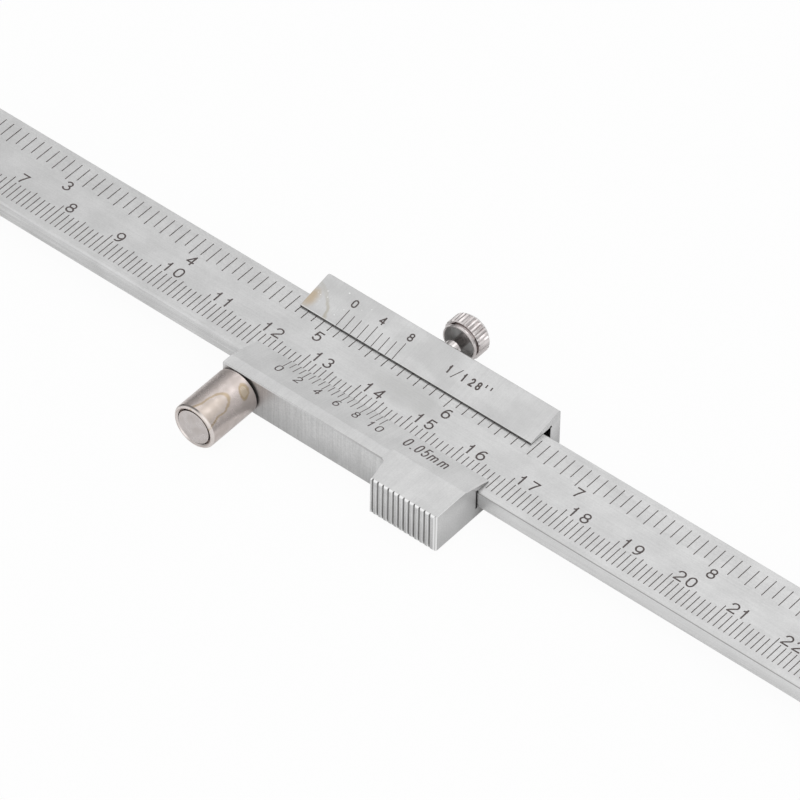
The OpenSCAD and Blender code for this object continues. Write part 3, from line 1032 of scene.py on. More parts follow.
@dataclass(frozen=True)
class PlainMetal(Finish):
    """A small part's metal: a colour with light wear, fine lumps and its own gloss.

    Sizes are millimetres.
    """

    name: str
    colour: str
    worn: str
    roughness: float
    metallic: float = 1.0
    lump_size: float = 0.3
    lump_depth: float = 0.002
    wear_from: float = 0.6
    wear_over: float = 0.15
    uneven_gloss: float = 0.05
    relief: float = 0.4

    def shade(self, tree: Tree, coords: Source) -> Node:
        """Adds the worn patches and the surface's fine lumps.

        Args:
            tree: Node tree of the material.
            coords: What gives Object coordinates, in metres.

        Returns:
            The material's shader.
        """
        patches = lumps(tree, coords, 3 * self.lump_size, detail=4)
        colour = add_node(tree, "Mix", COLOURS, {
            0: overlap(tree, (patches, self.wear_from, self.wear_from + self.wear_over)),
            6: linear(self.colour), 7: linear(self.worn)})
        gloss = overlap(tree, (patches, *NOISE, self.roughness + self.uneven_gloss,
                               self.roughness - self.uneven_gloss))
        bump = add_node(tree, "Bump", inputs={
            "Strength": self.relief, "Distance": self.lump_depth * MM,
            "Height": lumps(tree, coords, self.lump_size)})
        return add_node(tree, "BsdfPrincipled", inputs={
            "Base Color": colour, "Metallic": self.metallic, "Roughness": gloss,
            "Normal": bump})


BEAM_STEEL = BeamSteel()
# Milled steel of the head: like the beam's, with its tool lines across the block
HEAD_STEEL = SatinStainless(name="stainless_steel_head", grain=Grain.ACROSS)
# Flush rivets: the same steel, ground with the beam but a little darker and more even
RIVET_STEEL = SatinStainless(name="stainless_steel_rivets", light="#c4c4c3", dark="#bbbbba",
                             cloud_size=1.0)
# Screws: bright nickel with sharp highlights on the knurling
NICKEL = NickelPlate(name="nickel_plate_bright", colour="#d4cfce", shadow="#c6c0bf",
                     roughness=0.12)
# The pin's flat head: the same plating, duller from facing
PIN_NICKEL = NickelPlate(name="nickel_plate_pin", colour="#d0cac8", shadow="#c6bfbc")
# Bottom of the recess in a screw's head, left as turned: duller and darker than the outside
DULL_NICKEL = NickelPlate(name="nickel_plate_dull", colour="#d2d1d0", shadow="#c6c5c4",
                          roughness=0.55)
# Gun-blued steel screws: nearly black, with bare steel showing where a driver touched them
BLUED = PlainMetal("blued_steel", "#3a3b3e", "#77777a", roughness=0.4)
# Rolled brass strip: warm yellow, dulled by handling
BRASS = PlainMetal("rolled_brass", "#c9a65b", "#a98a4a", roughness=0.3)
# Ground tungsten carbide: darker and denser looking than steel, with a fine grey grind
CARBIDE = PlainMetal("ground_carbide", "#76777a", "#8c8d90", roughness=0.28, lump_size=0.08)
# Etched marks: the steel's surface is burnt dark and matt along each line
ETCHED = PlainMetal("etched_dark_oxide", "#5a5150", "#675e5c", roughness=0.7, metallic=0.0,
                    lump_size=0.1, wear_from=0.5)


def dress(piece: Piece, finish: Finish, body: Body, slot: Slot, *stands_for: str) -> Piece:
    """Gives a finished piece its material, its body and the CAD nodes that it stands for.

    Args:
        piece: The piece.
        finish: Its finish.
        body: Body that it rides on.
        slot: Slot of the record that its finish belongs to. Not used.
        *stands_for: Names of the CAD nodes that it replaces.

    Returns:
        The same piece.
    """
    piece.data.materials.clear()
    piece.data.materials.append(finish.material())
    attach(piece, body.value)
    if stands_for:
        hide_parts(*stands_for)
    LOG.info("%s: %d faces, rides on %s", piece.name, len(piece.data.polygons), body.value)
    return piece


def dress_node(node: str, finish: Finish) -> None:
    """Gives a CAD node that keeps its shape its material.

    Args:
        node: Name of the CAD node.
        finish: Its finish.
    """
    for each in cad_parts[node].material_slots:
        each.material = finish.material()
    LOG.info("%s keeps its solid", node)


# Marks


def arc(centre: Pair, reach: Pair, start: float, end: float, steps: int = 14) -> list[Pair]:
    """Gives points along part of an oval.

    Args:
        centre: Centre of the oval.
        reach: Half its width and height.
        start: First angle in degrees, from the right and against the clock.
        end: Last angle in degrees.
        steps: Number of steps.

    Returns:
        The points.
    """
    angles = [math.radians(start + (end - start) * i / steps) for i in range(steps + 1)]
    return [(centre[0] + reach[0] * math.cos(a), centre[1] + reach[1] * math.sin(a))
            for a in angles]


def half_turn(strokes: list[list[Pair]]) -> list[list[Pair]]:
    """Turns a character upside down inside its unit box."""
    return [[(1 - x, 1 - y) for x, y in points] for points in strokes]


SIX = [arc((0.5, 0.32), (0.5, 0.32), 0, 360, 28), arc((0.62, 0.4), (0.62, 0.6), 65, 190)]
STROKES = {
    "0": [arc((0.5, 0.66), (0.5, 0.34), 0, 180) + arc((0.5, 0.34), (0.5, 0.34), 180, 360)
          + [(1.0, 0.66)]],
    "1": [[(1.0, 0.0), (1.0, 1.0)], arc((0.0, 1.0), (0.98, 0.27), 0, -88, 6)],
    "2": [arc((0.5, 0.7), (0.5, 0.3), 175, -30) + [(0.55, 0.36), (0.12, 0.12), (0.0, 0.0)],
          [(0.0, 0.0), (1.0, 0.0)]],
    "3": [arc((0.48, 0.755), (0.44, 0.245), 165, -90), arc((0.5, 0.27), (0.5, 0.27), 90, -165)],
    "4": [[(0.76, 0.0), (0.76, 1.0)], [(0.72, 0.96), (0.02, 0.3)], [(0.0, 0.28), (1.0, 0.28)]],
    "5": [[(0.18, 1.0), (0.92, 1.0)], [(0.16, 0.98), (0.06, 0.5)],
          arc((0.48, 0.33), (0.52, 0.33), 148, -160)],
    "6": SIX,
    "7": [[(0.0, 1.0), (1.0, 1.0)],
          [(1.0, 1.0), (0.76, 0.72), (0.56, 0.44), (0.42, 0.2), (0.36, 0.0)]],
    "8": [arc((0.5, 0.755), (0.43, 0.245), 0, 360, 24), arc((0.5, 0.27), (0.5, 0.27), 0, 360, 28)],
    "9": half_turn(SIX),
    "m": [[(0.0, 0.0), (0.0, 1.0)],
          arc((0.25, 0.72), (0.25, 0.28), 180, 0) + [(0.5, 0.0)],
          arc((0.75, 0.72), (0.25, 0.28), 180, 0) + [(1.0, 0.0)]],
    "/": [[(0.0, 0.0), (1.0, 1.0)]],
    ".": [[(0.0, 0.5), (1.0, 0.5)]],
    "'": [[(0.5, 0.0), (0.5, 1.0)]],
}
"""Centre lines of the characters' strokes, in a box one wide and one high."""


@dataclass(frozen=True)
class Lettering:
    """Sizes of a row of characters, in millimetres."""

    foot: float
    top: float
    width: float
    stroke: float
    pitch: float
    one_width: float = 0.55


@dataclass(frozen=True)
class Glyph:
    """A character and the box that it fills, in millimetres, with X from an origin."""

    character: str
    left: float
    right: float
    foot: float
    top: float
    stroke: float


@dataclass
class Engraving:
    """Lines and characters on one flat face, drawn in millimetres as seen from above."""

    name: str
    flatness: float = 0.1
    strokes: list[tuple[list[Pair], float]] = field(default_factory=list)

    def line(self, x: float, low: float, high: float, width: float) -> None:
        """Adds a line of some width across the scale at x, from low to high."""
        self.strokes.append(([(x, low), (x, high)], width))

    def character(self, glyph: Glyph, origin: float = 0.0) -> None:
        """Adds a character.

        Args:
            glyph: The character and its box.
            origin: Where the box is measured from along X.
        """
        half = glyph.stroke / 2
        left, foot = origin + glyph.left + half, glyph.foot + half
        wide, high = glyph.right - glyph.left - glyph.stroke, glyph.top - foot - half
        for shape in STROKES[glyph.character]:
            points = [(left + x * wide, foot + y * high) for x, y in shape]
            if len(points) == 2:
                points = self.lengthened(points, half)
            self.strokes.append((points, glyph.stroke))

    def lengthened(self, points: list[Pair], by: float) -> list[Pair]:
        """Makes a straight stroke longer at both its ends, so that it has square ends.

        Args:
            points: The stroke's two ends.
            by: How much longer each end gets.

        Returns:
            The new ends.
        """
        first, last = Vector(points[0]), Vector(points[1])
        along = (last - first).normalized() * by
        return [tuple(first - along), tuple(last + along)]

    def row(self, text: str, left: float, letters: Lettering) -> None:
        """Adds a row of characters.

        Args:
            text: The characters.
            left: The row's left end.
            letters: Their sizes.
        """
        for order, character in enumerate(text):
            width = letters.width * (letters.one_width if character == "1" else 1)
            self.character(Glyph(character, 0.0, width, letters.foot, letters.top,
                                 letters.stroke), left + order * letters.pitch)

    def centred(self, text: str, middle: float, letters: Lettering) -> None:
        """Adds a row of characters round its middle."""
        length = (len(text) - 1) * letters.pitch + letters.width
        self.row(text, middle - length / 2, letters)

    def build(self, height: float, slope: float = 0.0) -> Piece:
        """Makes the marks as thin ribbons that lie in their face.

        Args:
            height: Height of the face at y = 0, in millimetres.
            slope: How much the face rises for each millimetre of y.

        Returns:
            The marks as one piece.
        """
        curve = bpy.data.curves.new(self.name, "CURVE")
        curve.dimensions = "3D"
        curve.twist_mode = "Z_UP"
        curve.bevel_depth = MM
        curve.bevel_resolution = 0
        curve.use_fill_caps = True
        for points, width in self.strokes:
            spline = curve.splines.new("POLY")
            spline.points.add(len(points) - 1)
            for point, (x, y) in zip(spline.points, points):
                point.co = (x * MM, y * MM, 0, 1)
                point.radius = width / 2
        piece = bpy.data.objects.new(self.name, curve)
        bpy.context.scene.collection.objects.link(piece)
        select_only(piece)
        bpy.ops.object.convert(target="MESH")
        piece = bpy.context.object
        shear = Matrix.Translation((0, 0, height * MM))
        shear[2][1] = slope
        return place(piece, shear @ Matrix.Diagonal((1, 1, self.flatness, 1)))


@dataclass(frozen=True)
class Scale:
    """A row of lines with numbers. Sizes are millimetres.

    All lines begin at base. The first entry of ends is where plain lines end, and the next ones
    are for lines whose order is a multiple of one entry of longer_each, of two of them, and so on.
    """

    step: float
    count: int
    base: float
    ends: tuple[float, ...]
    longer_each: tuple[int, ...]
    line_width: float
    letters: Lettering
    number_each: int
    number_step: int = 1
    number_offset: float = 0.0
    numbers_centred: bool = True
    zero: float = 0.0

    def lines(self, marks: Engraving, origin: float = 0.0) -> Engraving:
        """Draws the lines.

        Args:
            marks: Marks that take them.
            origin: X that the zero line is measured from.

        Returns:
            The same marks.
        """
        for order in range(self.count + 1):
            rank = sum(order % each == 0 for each in self.longer_each)
            low, high = sorted((self.base, self.ends[rank]))
            marks.line(origin + self.zero + order * self.step, low, high, self.line_width)
        return marks

    def numbers(self, marks: Engraving, origin: float = 0.0) -> Engraving:
        """Draws the numbers, round their places or to the right of them.

        Args:
            marks: Marks that take them.
            origin: X that the zero line is measured from.

        Returns:
            The same marks.
        """
        draw = marks.centred if self.numbers_centred else marks.row
        for order in range(0, self.count + 1, self.number_each):
            x = origin + self.zero + order * self.step + self.number_offset
            draw(str(order // self.number_each * self.number_step), x, self.letters)
        return marks


# Sub-assemblies


@dataclass
class Beam:
    """The graduated bar with its stop screw. Sizes are millimetres."""

    mm_scale: Scale = Scale(
        step=1.0, count=230, base=-6.575, ends=(-3.125, -2.7, -2.125), longer_each=(5, 10),
        line_width=0.16, letters=Lettering(-2.82, -0.68, 1.46, 0.275, 2.05), number_each=10,
        number_offset=0.5, numbers_centred=False)
    inch_scale: Scale = Scale(
        step=INCH / 16, count=144, base=6.55, ends=(3.375, 2.875, 2.425), longer_each=(2, 16),
        line_width=0.16, letters=Lettering(0.53, 2.64, 1.43, 0.275, 2.05), number_each=16,
        number_offset=1.37)
    edge: float = 0.04
    screw_edge: float = 0.12

    def build(self) -> None:
        """Builds the bar, its marks and the stop screw."""
        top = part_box("beam")[1][2] / MM
        bar = soften_edges(node_copy("beam", "beam_bar"), width=self.edge, least_length=1.0)
        dress(bar, BEAM_STEEL, Body.BEAM, Slot.STEEL, "beam")
        for marks in (self.mm_scale.lines(Engraving("beam_mm_lines")),
                      self.mm_scale.numbers(Engraving("beam_mm_numbers")),
                      self.inch_scale.lines(Engraving("beam_inch_lines")),
                      self.inch_scale.numbers(Engraving("beam_inch_numbers"))):
            dress(marks.build(top), ETCHED, Body.BEAM, Slot.STEEL)
        screw = soften_edges(node_copy("stop_screw", "stop_screw_slotted"),
                             width=self.screw_edge, least_length=0.05, least_angle=60)
        dress(screw, BLUED, Body.BEAM, Slot.BLACK, "stop_screw")


@dataclass
class ThumbScrew:
    """A knurled thumb screw with a threaded shank. Sizes are millimetres.

    The points of floor_corner lie so far in from the recess's wall and below its floor, and
    ridge_half is half the thread's ridge as a share of its pitch.
    """

    node: str
    name: str
    body: Body
    axis: Axis
    start: Triple
    length: float
    knob_r: float = 3.575
    knob_len: float = 3.95
    rim_r: float = 3.15
    rim_len: float = 0.6
    groove_w: float = 0.25
    recess_r: float = 2.88
    recess_depth: float = 1.6
    neck_r: float = 1.0
    neck_len: float = 1.2
    knurl_count: int = 32
    knurl_depth: float = 0.22
    chamfer: float = 0.8
    thread_r: float = 1.45
    core_r: float = 1.2
    pitch: float = 0.5
    thread_len: float = 2.9
    edge: float = 0.08
    floor_corner: tuple[Pair, Pair] = ((0.3, 0.0), (0.12, 0.06))
    foot_chamfer: float = 0.25
    thread_runout: float = 0.2
    neck_taper: float = 0.3
    ridge_half: float = 0.42
    ridge_sunk: float = 0.05
    ridge_steps: int = 24

    def build(self) -> None:
        """Builds the screw in the place of its CAD node."""
        screw = join(self.name, [self.head(), self.shank(), self.thread()])
        recess = [face.index for face in screw.data.polygons if self.in_recess(face.center / MM)]
        place(screw, Matrix.Translation(Vector(self.start) * MM) @ self.axis.value)
        smooth(screw, angle=25)
        dress(screw, NICKEL, self.body, Slot.NICKEL, self.node)
        screw.data.materials.append(DULL_NICKEL.material())
        for index in recess:
            screw.data.polygons[index].material_index = 1

    def in_recess(self, middle: Vector) -> bool:
        """Tells whether a face lies on the recess's wall or floor.

        Args:
            middle: The face's middle in millimetres, with the screw upright.

        Returns:
            Whether it does.
        """
        neck = self.length - self.knob_len
        return (self.thread_r + self.edge < middle.xy.length < self.recess_r
                and neck < middle.z < neck + self.recess_depth + self.edge)

    def head(self) -> Piece:
        """Turns the head with its rim, groove and recess, and knurls it.

        Returns:
            The head, upright over the origin.
        """
        neck = self.length - self.knob_len
        knurl_z = neck + self.rim_len + self.groove_w
        end = self.length
        e = self.edge
        floor = neck + self.recess_depth
        head = turned(self.name + "_head", [
            (0, floor), *((self.recess_r - inward, floor - below)
                          for inward, below in self.floor_corner),
            (self.recess_r, neck + e), (self.recess_r + e, neck),
            (self.rim_r - 2 * e, neck), (self.rim_r - e / 2, neck + e / 2),
            (self.rim_r, neck + 2 * e), (self.rim_r, neck + self.rim_len - e),
            (self.rim_r - e, neck + self.rim_len),
            (self.rim_r - self.groove_w, neck + self.rim_len),
            (self.rim_r - self.groove_w, knurl_z), (self.knob_r - 2 * e, knurl_z),
            (self.knob_r, knurl_z + 2 * e), (self.knob_r, end - self.chamfer),
            (self.knob_r - self.chamfer / 2, end - self.chamfer / 2),
            (self.knob_r - self.chamfer, end - e / 2), (self.knob_r - self.chamfer - e, end),
            (0, end)], steps=3 * self.knurl_count)
        select_only(head)
        bpy.ops.object.mode_set(mode="EDIT")
        bpy.ops.mesh.select_all(action="DESELECT")
        shape = bmesh.from_edit_mesh(head.data)
        for vertex in shape.verts:
            x, y, _ = vertex.co / MM
            row = round(math.atan2(y, x) / math.tau * 3 * self.knurl_count)
            vertex.select_set(row % 3 == 0 and math.hypot(x, y) > self.knob_r - e)
        bmesh.update_edit_mesh(head.data)
        share = 1 - self.knurl_depth / self.knob_r
        bpy.ops.transform.resize(value=(share, share, 1), center_override=(0, 0, 0))
        bpy.ops.object.mode_set(mode="OBJECT")
        return head

    def shank(self) -> Piece:
        """Turns the thread's core, with a pointed start and its end inside the head.

        Returns:
            The core, upright on the origin.
        """
        last = self.length - self.chamfer
        neck = self.length - self.knob_len - self.neck_len
        return turned(self.name + "_shank", [
            (0, 0), (self.core_r - self.foot_chamfer, 0), (self.core_r, self.foot_chamfer),
            (self.core_r, self.thread_len),
            (self.thread_r, self.thread_len + self.thread_runout), (self.thread_r, neck),
            (self.neck_r, neck + self.neck_taper), (self.neck_r, last), (0, last)], steps=48)

    def thread(self) -> Piece:
        """Winds the thread's ridge round the core.

        Returns:
            The ridge.
        """
        half = self.ridge_half * self.pitch
        inner = self.core_r - self.ridge_sunk
        bpy.ops.object.select_all(action="DESELECT")
        bpy.ops.mesh.primitive_circle_add(vertices=3, radius=MM, fill_type="NGON")
        ridge = bpy.context.object
        corners = [(inner, -half), (self.thread_r, 0), (inner, half)]
        for vertex, (radius, height) in zip(ridge.data.vertices, corners):
            vertex.co = (radius * MM, 0, (height + self.pitch) * MM)
        screw = ridge.modifiers.new("thread", "SCREW")
        screw.axis = "Z"
        screw.screw_offset = self.pitch * MM
        screw.iterations = int(self.thread_len / self.pitch - 1)
        screw.steps = screw.render_steps = self.ridge_steps
        screw.use_merge_vertices = True
        screw.merge_threshold = MERGE_DISTANCE
        return self.capped(apply_modifiers(ridge))

    def capped(self, ridge: Piece) -> Piece:
        """Closes the two ends of the ridge and turns its faces outwards.

        Args:
            ridge: The open ridge.

        Returns:
            The same piece, closed.
        """
        select_only(ridge)
        bpy.ops.object.mode_set(mode="EDIT")
        bpy.ops.mesh.select_mode(type="EDGE")
        bpy.ops.mesh.select_all(action="DESELECT")
        bpy.ops.mesh.select_non_manifold()
        bpy.ops.mesh.edge_face_add()
        bpy.ops.mesh.select_all(action="SELECT")
        bpy.ops.mesh.normals_make_consistent(inside=False)
        bpy.ops.object.mode_set(mode="OBJECT")
        return ridge


@dataclass
class ScriberHead:
    """The block at the beam's left end, with its rivets, scriber and clamp screw."""

    edge: float = 0.06

    def build(self) -> None:
        """Builds the block and all that it holds."""
        block = soften_edges(node_copy("scriber_head", "scriber_head_block"),
                             width=self.edge, least_length=1.0)
        dress(block, HEAD_STEEL, Body.BEAM, Slot.STEEL, "scriber_head")
        rod = smooth(node_copy("scriber_rod", "scriber_rod_turned"), angle=20)
        dress(rod, HEAD_STEEL, Body.SCRIBER, Slot.STEEL, "scriber_rod")
        tip = smooth(node_copy("scriber_tip", "scriber_point"), angle=20)
        dress(tip, CARBIDE, Body.SCRIBER, Slot.CARBIDE, "scriber_tip")
        for node in ("head_rivet_front", "head_rivet_rear"):
            dress_node(node, RIVET_STEEL)
        dress_node("clamp_pad", BRASS)
        low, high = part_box("clamp_screw")
        middle = (low + high) / 2 / MM
        ThumbScrew("clamp_screw", "clamp_thumb_screw", Body.CLAMP_SCREW, Axis.LEFT,
                   (high.x / MM, middle.y, middle.z), (high.x - low.x) / MM).build()


MM_UNIT = (
    Glyph("0", 31.1, 32.05, -8.57, -6.18, 0.26), Glyph(".", 32.6, 32.9, -8.57, -8.27, 0.28),
    Glyph("0", 33.3, 34.2, -8.57, -6.18, 0.26), Glyph("5", 34.6, 35.6, -8.57, -6.18, 0.26),
    Glyph("m", 35.9, 37.35, -8.57, -6.93, 0.26), Glyph("m", 37.9, 39.35, -8.57, -6.93, 0.26))
"""What the metric vernier reads to, in boxes from the slider's left end."""
INCH_UNIT = (
    Glyph("1", 26.3, 26.85, 7.53, 9.07, 0.29), Glyph("/", 27.6, 28.7, 7.18, 9.27, 0.16),
    Glyph("1", 29.15, 29.7, 7.53, 9.07, 0.29), Glyph("2", 30.7, 31.5, 7.53, 9.07, 0.29),
    Glyph("8", 31.95, 32.8, 7.53, 9.07, 0.29), Glyph("'", 33.3, 33.56, 8.62, 9.22, 0.24),
    Glyph("'", 34.25, 34.51, 8.62, 9.22, 0.24))
"""What the inch vernier reads to, in boxes from the slider's left end."""


@dataclass
class Slider:
    """The vernier slider with its gib, screws and marks. Sizes are millimetres."""

    edge: float = 0.05
    front_slope: tuple[Pair, Pair] = ((-11.3, 7.85), (-5.2, 6.1))
    rear_slope: tuple[Pair, Pair] = ((4.8, 6.2), (11.55, 7.85))
    mm_vernier: Scale = Scale(
        step=0.95, count=20, base=-5.22, ends=(-6.95, -7.35), longer_each=(2,),
        line_width=0.14, letters=Lettering(-9.1, -7.4, 1.07, 0.22, 1.55), number_each=4,
        number_step=2, zero=6.85)
    inch_vernier: Scale = Scale(
        step=1.389, count=8, base=4.85, ends=(7.7, 8.2), longer_each=(4,), line_width=0.14,
        letters=Lettering(8.7, 10.2, 1.02, 0.25, 1.4), number_each=4, number_step=4, zero=7.05)

    def build(self) -> None:
        """Builds the slider's body, its gib and screws, and its marks."""
        body = soften_edges(node_copy("slider_body", "slider_vernier_body"),
                            width=self.edge, least_length=0.9)
        dress(body, SliderSteel(), Body.SLIDER, Slot.STEEL, "slider_body")
        dress_node("gib_strip", BRASS)
        for side, rides_on in (("left", Body.GIB_SCREW_LEFT), ("right", Body.GIB_SCREW_RIGHT)):
            screw = node_copy(f"gib_screw_{side}", f"gib_screw_{side}_slotted")
            smooth(screw, angle=20)
            dress(screw, BLUED, rides_on, Slot.BLACK, f"gib_screw_{side}")
        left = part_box("slider_body")[0][0] / MM
        for kind, scale, unit, slope in (
                ("mm", self.mm_vernier, MM_UNIT, self.front_slope),
                ("inch", self.inch_vernier, INCH_UNIT, self.rear_slope)):
            lines = scale.lines(Engraving(f"slider_{kind}_vernier"), left)
            for marks in (scale.numbers(lines, left),
                          self.written(Engraving(f"slider_{kind}_unit"), unit, left)):
                dress(self.cut(marks, slope), ETCHED, Body.SLIDER, Slot.STEEL)
        low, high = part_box("lock_screw")
        middle = (low + high) / 2 / MM
        ThumbScrew("lock_screw", "lock_thumb_screw", Body.LOCK_SCREW, Axis.REAR,
                   (middle.x, low.y / MM, middle.z), (high.y - low.y) / MM).build()

    def cut(self, marks: Engraving, slope: tuple[Pair, Pair]) -> Piece:
        """Lays marks onto a lip's slope.

        Args:
            marks: The marks.
            slope: Y and Z of two points of the slope.

        Returns:
            The marks as one piece.
        """
        (y, z), (other_y, other_z) = slope
        rise = (other_z - z) / (other_y - y)
        return marks.build(z - rise * y, rise)

    def written(self, marks: Engraving, glyphs: tuple[Glyph, ...], left: float) -> Engraving:
        """Writes beside a vernier what it reads to.

        Args:
            marks: Marks that take the characters.
            glyphs: The characters.
            left: X of the slider's left end.

        Returns:
            The same marks.
        """
        for glyph in glyphs:
            marks.character(glyph, left)
        return marks


@dataclass
class GuideRoller:
    """The roller in front of the slider, with its pin and washer. Sizes are millimetres.

    The rounded front edge goes through two points that edge_shares gives as shares of edge_r.
    """

    edge_r: float = 0.4
    edge_shares: Pair = (0.15, 0.68)
    back_edge_r: float = 0.15
    bore_r: float = 2.05
    counterbore_r: float = 3.2
    counterbore_depth: float = 1.3
    pin_r: float = 2.0
    pin_head_r: float = 3.0
    pin_head_t: float = 1.2
    fine_edge: float = 0.1
    bore_edge: float = 0.2
    washer_bore_r: float = 2.05

    def build(self) -> None:
        """Builds the sleeve, the headed pin and the washer."""
        low, high = (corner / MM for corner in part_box("guide_roller"))
        axis = ((low.x + high.x) / 2, (low.z + high.z) / 2)
        radius, length = (high.x - low.x) / 2, high.y - low.y
        sleeve = self.stand(self.sleeve(radius, length), axis, high.y)
        roller_finish = StainedNickelPaintedRim(axis=axis, radius=radius)
        dress(sleeve, roller_finish, Body.ROLLER, Slot.NICKEL, "guide_roller")
        pin_low, pin_high = (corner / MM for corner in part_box("roller_pin"))
        pin = self.stand(self.pin(pin_high.y - pin_low.y), axis, pin_high.y)
        dress(pin, PIN_NICKEL, Body.SLIDER, Slot.NICKEL, "roller_pin")
        washer_low, washer_high = (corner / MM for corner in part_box("roller_washer"))
        washer = self.stand(self.washer((washer_high.x - washer_low.x) / 2,
                                        washer_high.y - washer_low.y), axis, washer_high.y)
        dress(washer, BLUED, Body.SLIDER, Slot.BLACK, "roller_washer")

    def stand(self, piece: Piece, axis: Pair, foot: float) -> Piece:
        """Lays an upright turned piece onto the roller's axis, pointing to the front."""
        move = Matrix.Translation((axis[0] * MM, foot * MM, axis[1] * MM))
        return smooth(place(piece, move @ Axis.FRONT.value), angle=25)

    def sleeve(self, radius: float, length: float) -> Piece:
        """Turns the sleeve, with rounded edges and a counterbore in front.

        Args:
            radius: Its radius.
            length: Its length.

        Returns:
            The sleeve, upright on the origin.
        """
        e, back, fine = self.edge_r, self.back_edge_r, self.fine_edge
        near, far = (share * e for share in self.edge_shares)
        floor = length - self.counterbore_depth
        return turned("guide_roller_sleeve", [
            (self.bore_r, floor), (self.bore_r, fine), (self.bore_r + fine, 0),
            *arc((radius - back, back), (back, back), -90, 0, 6),
            (radius, length - e), (radius - near, length - far),
            (radius - far, length - near), (radius - e, length),
            (self.counterbore_r + self.bore_edge, length),
            (self.counterbore_r, length - self.bore_edge),
            (self.counterbore_r, floor), (self.bore_r, floor)], steps=128)

    def pin(self, length: float) -> Piece:
        """Turns the pin with its flush head.

        Args:
            length: Its length.

        Returns:
            The pin, upright on the origin.
        """
        r, head_r, fine = self.pin_r, self.pin_head_r, self.fine_edge
        return turned("roller_pin_headed", [
            (0, 0), (r - fine, 0), (r, fine), (r, length - self.pin_head_t),
            (head_r - fine / 2, length - self.pin_head_t),
            (head_r, length - self.pin_head_t + fine / 2), (head_r, length - fine),
            (head_r - fine / 3, length - fine / 3), (head_r - fine, length), (0, length)],
            steps=128)

    def washer(self, radius: float, thickness: float) -> Piece:
        """Turns the thin washer behind the sleeve.

        Args:
            radius: Its radius.
            thickness: Its thickness.

        Returns:
            The washer, upright on the origin.
        """
        e = thickness / 5
        return turned("roller_washer_ring", [
            (self.washer_bore_r, 0), (radius - e, 0), (radius, e), (radius, thickness - e),
            (radius - e, thickness), (self.washer_bore_r, thickness), (self.washer_bore_r, 0)],
            steps=96)


# Studio


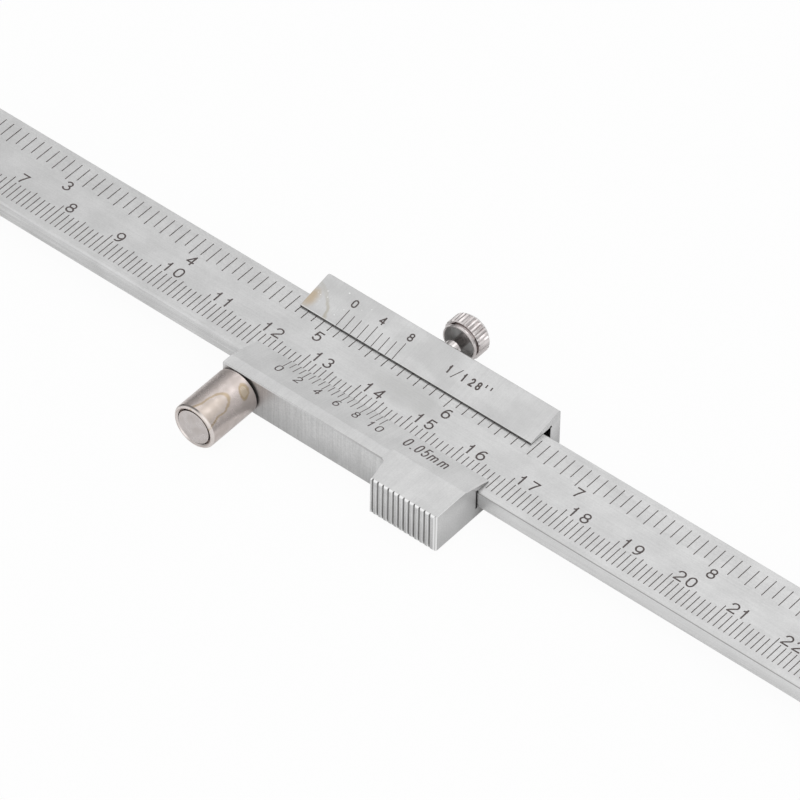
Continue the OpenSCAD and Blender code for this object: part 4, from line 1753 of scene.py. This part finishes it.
@dataclass
class Studio:
    """The pale floor, soft lights and the photograph's camera. Lengths are metres."""

    eye: Triple = (0.628551, -0.597418, 0.794975)
    aim: Triple = (0.14651, -0.00072, 0.00585)
    roll: float = 1.0235
    lens: float = 327.71
    floor_side: float = 4.0
    floor_drop: float = 0.0002
    ambient: float = 0.85
    floor_glow: float = 0.95
    floor_sheen: float = 0.46

    def build(self) -> None:
        """Builds the surroundings."""
        bpy.context.scene.view_settings.view_transform = "Standard"
        self.camera()
        self.world()
        self.floor()
        self.softbox("key_softbox", (0.20, 0.54, 0.82), 1.6, (0.6, 0.5), 0.7)
        self.softbox("top_softbox", (-0.40, 0.44, 0.80), 1.4, (0.7, 0.6), 0.16)
        self.softbox("rim_softbox", (0.34, -0.83, 0.40), 1.4, (0.9, 0.6), 0.42)
        self.flag("left_flag", (-0.80, 0.54, 0.30), 1.3, (1.1, 1.35), ("#7a7a7a", "#f0f0f0"))
        self.flag("right_flag", (0.80, 0.52, 0.30), 1.3, (0.8, 0.8), ("#e6e6e6", "#fafafa"))
        self.flag("front_flag", (-0.97, -0.15, 0.0), 1.3, (0.5, 0.5), ("#383838", "#4a4a4a"))

    def camera(self) -> None:
        """Places the camera where the photograph was taken from."""
        data = bpy.data.cameras.new("photo_camera")
        data.lens = self.lens
        data.clip_end = 10
        camera = bpy.data.objects.new("photo_camera", data)
        bpy.context.scene.collection.objects.link(camera)
        eye = Vector(self.eye)
        turn = (Vector(self.aim) - eye).to_track_quat("-Z", "Y").to_matrix().to_4x4()
        roll = Matrix.Rotation(math.radians(self.roll), 4, "Z")
        camera.matrix_world = Matrix.Translation(eye) @ turn @ roll
        bpy.context.scene.camera = camera

    def world(self) -> None:
        """Fills the surroundings with soft light, and shows them white."""
        world = bpy.data.worlds.new("studio")
        bpy.context.scene.world = world
        world.use_nodes = True
        tree = world.node_tree
        tree.nodes.clear()
        rays = add_node(tree, "LightPath").outputs
        seen = greatest(tree, rays["Is Camera Ray"], rays["Is Glossy Ray"],
                        rays["Is Transmission Ray"])
        strength = add_node(tree, "MapRange", inputs={0: seen, 3: self.ambient, 4: 1.0})
        background = add_node(tree, "Background", inputs={
            "Color": linear("#ffffff"), "Strength": strength})
        add_node(tree, "OutputWorld", inputs={"Surface": background})

    def floor(self) -> None:
        """Lays the floor, which looks white and keeps the object's shadow."""
        bpy.ops.object.select_all(action="DESELECT")
        bpy.ops.mesh.primitive_plane_add(size=self.floor_side,
                                         location=(self.aim[0], 0, -self.floor_drop))
        floor = bpy.context.object
        floor.name = "studio_floor"
        material, tree = empty_material("white_paper_floor")
        paper = add_node(tree, "BsdfDiffuse", inputs={"Color": linear("#f4f4f4")})
        glow = add_node(tree, "Emission", inputs={"Color": linear("#ffffff"), "Strength": 1.0})
        rays = add_node(tree, "LightPath").outputs
        seen = overlap(tree, rays["Is Camera Ray"], self.floor_glow)
        mirrored = overlap(tree, greatest(tree, rays["Is Glossy Ray"],
                                          rays["Is Transmission Ray"]), self.floor_sheen)
        mix = add_node(tree, "MixShader", inputs={
            0: greatest(tree, seen, mirrored), 1: paper, 2: glow})
        add_node(tree, "OutputMaterial", inputs={"Surface": mix})
        floor.data.materials.append(material)

    def facing(self, direction: Triple, distance: float) -> Matrix:
        """Gives the place of a panel that faces the object.

        Args:
            direction: Where it hangs, seen from the object.
            distance: Distance in metres.

        Returns:
            The place.
        """
        way = Vector(direction).normalized()
        turn = way.to_track_quat("Z", "Y").to_matrix().to_4x4()
        return Matrix.Translation(Vector(self.aim) + way * distance) @ turn

    def softbox(self, name: str, direction: Triple, distance: float,
                size: Pair, radiance: float) -> None:
        """Hangs a soft lamp.

        Args:
            name: Name of the lamp.
            direction: Where it hangs, seen from the object.
            distance: Distance in metres.
            size: Width and height in metres.
            radiance: Brightness of its face, where 1 is as bright as the surroundings.
        """
        data = bpy.data.lights.new(name, "AREA")
        data.shape = "RECTANGLE"
        data.size, data.size_y = size
        data.energy = radiance * math.pi * size[0] * size[1]
        lamp = bpy.data.objects.new(name, data)
        bpy.context.scene.collection.objects.link(lamp)
        lamp.matrix_world = self.facing(direction, distance)
        lamp.visible_camera = False

    def flag(self, name: str, direction: Triple, distance: float,
             size: Pair, colours: tuple[str, str]) -> None:
        """Stands a graded grey card where polished metal reflects it.

        Args:
            name: Name of the card.
            direction: Where it stands, seen from the object.
            distance: Distance in metres.
            size: Width and height in metres.
            colours: Its colours at the bottom and at the top.
        """
        bpy.ops.object.select_all(action="DESELECT")
        bpy.ops.mesh.primitive_plane_add(size=1)
        card = bpy.context.object
        card.name = name
        card.matrix_world = self.facing(direction, distance) @ Matrix.Diagonal((*size, 1, 1))
        material, tree = empty_material("card_" + name)
        height = add_node(tree, "SeparateXYZ", inputs={
            0: add_node(tree, "TexCoord").outputs["Object"]}).outputs["Y"]
        share = add_node(tree, "MapRange", inputs={0: height, 1: -0.5, 2: 0.5})
        colour = add_node(tree, "Mix", COLOURS, {
            0: share, 6: linear(colours[0]), 7: linear(colours[1])})
        paint = add_node(tree, "BsdfDiffuse", inputs={"Color": colour})
        add_node(tree, "OutputMaterial", inputs={"Surface": paint})
        card.data.materials.append(material)
        card.visible_camera = False


def main() -> None:
    """Builds the gauge and its studio."""
    logging.basicConfig(level=logging.INFO, format="%(name)s: %(message)s")
    Studio().build()
    Beam().build()
    ScriberHead().build()
    Slider().build()
    GuideRoller().build()


if __name__ == "__main__":
    main()
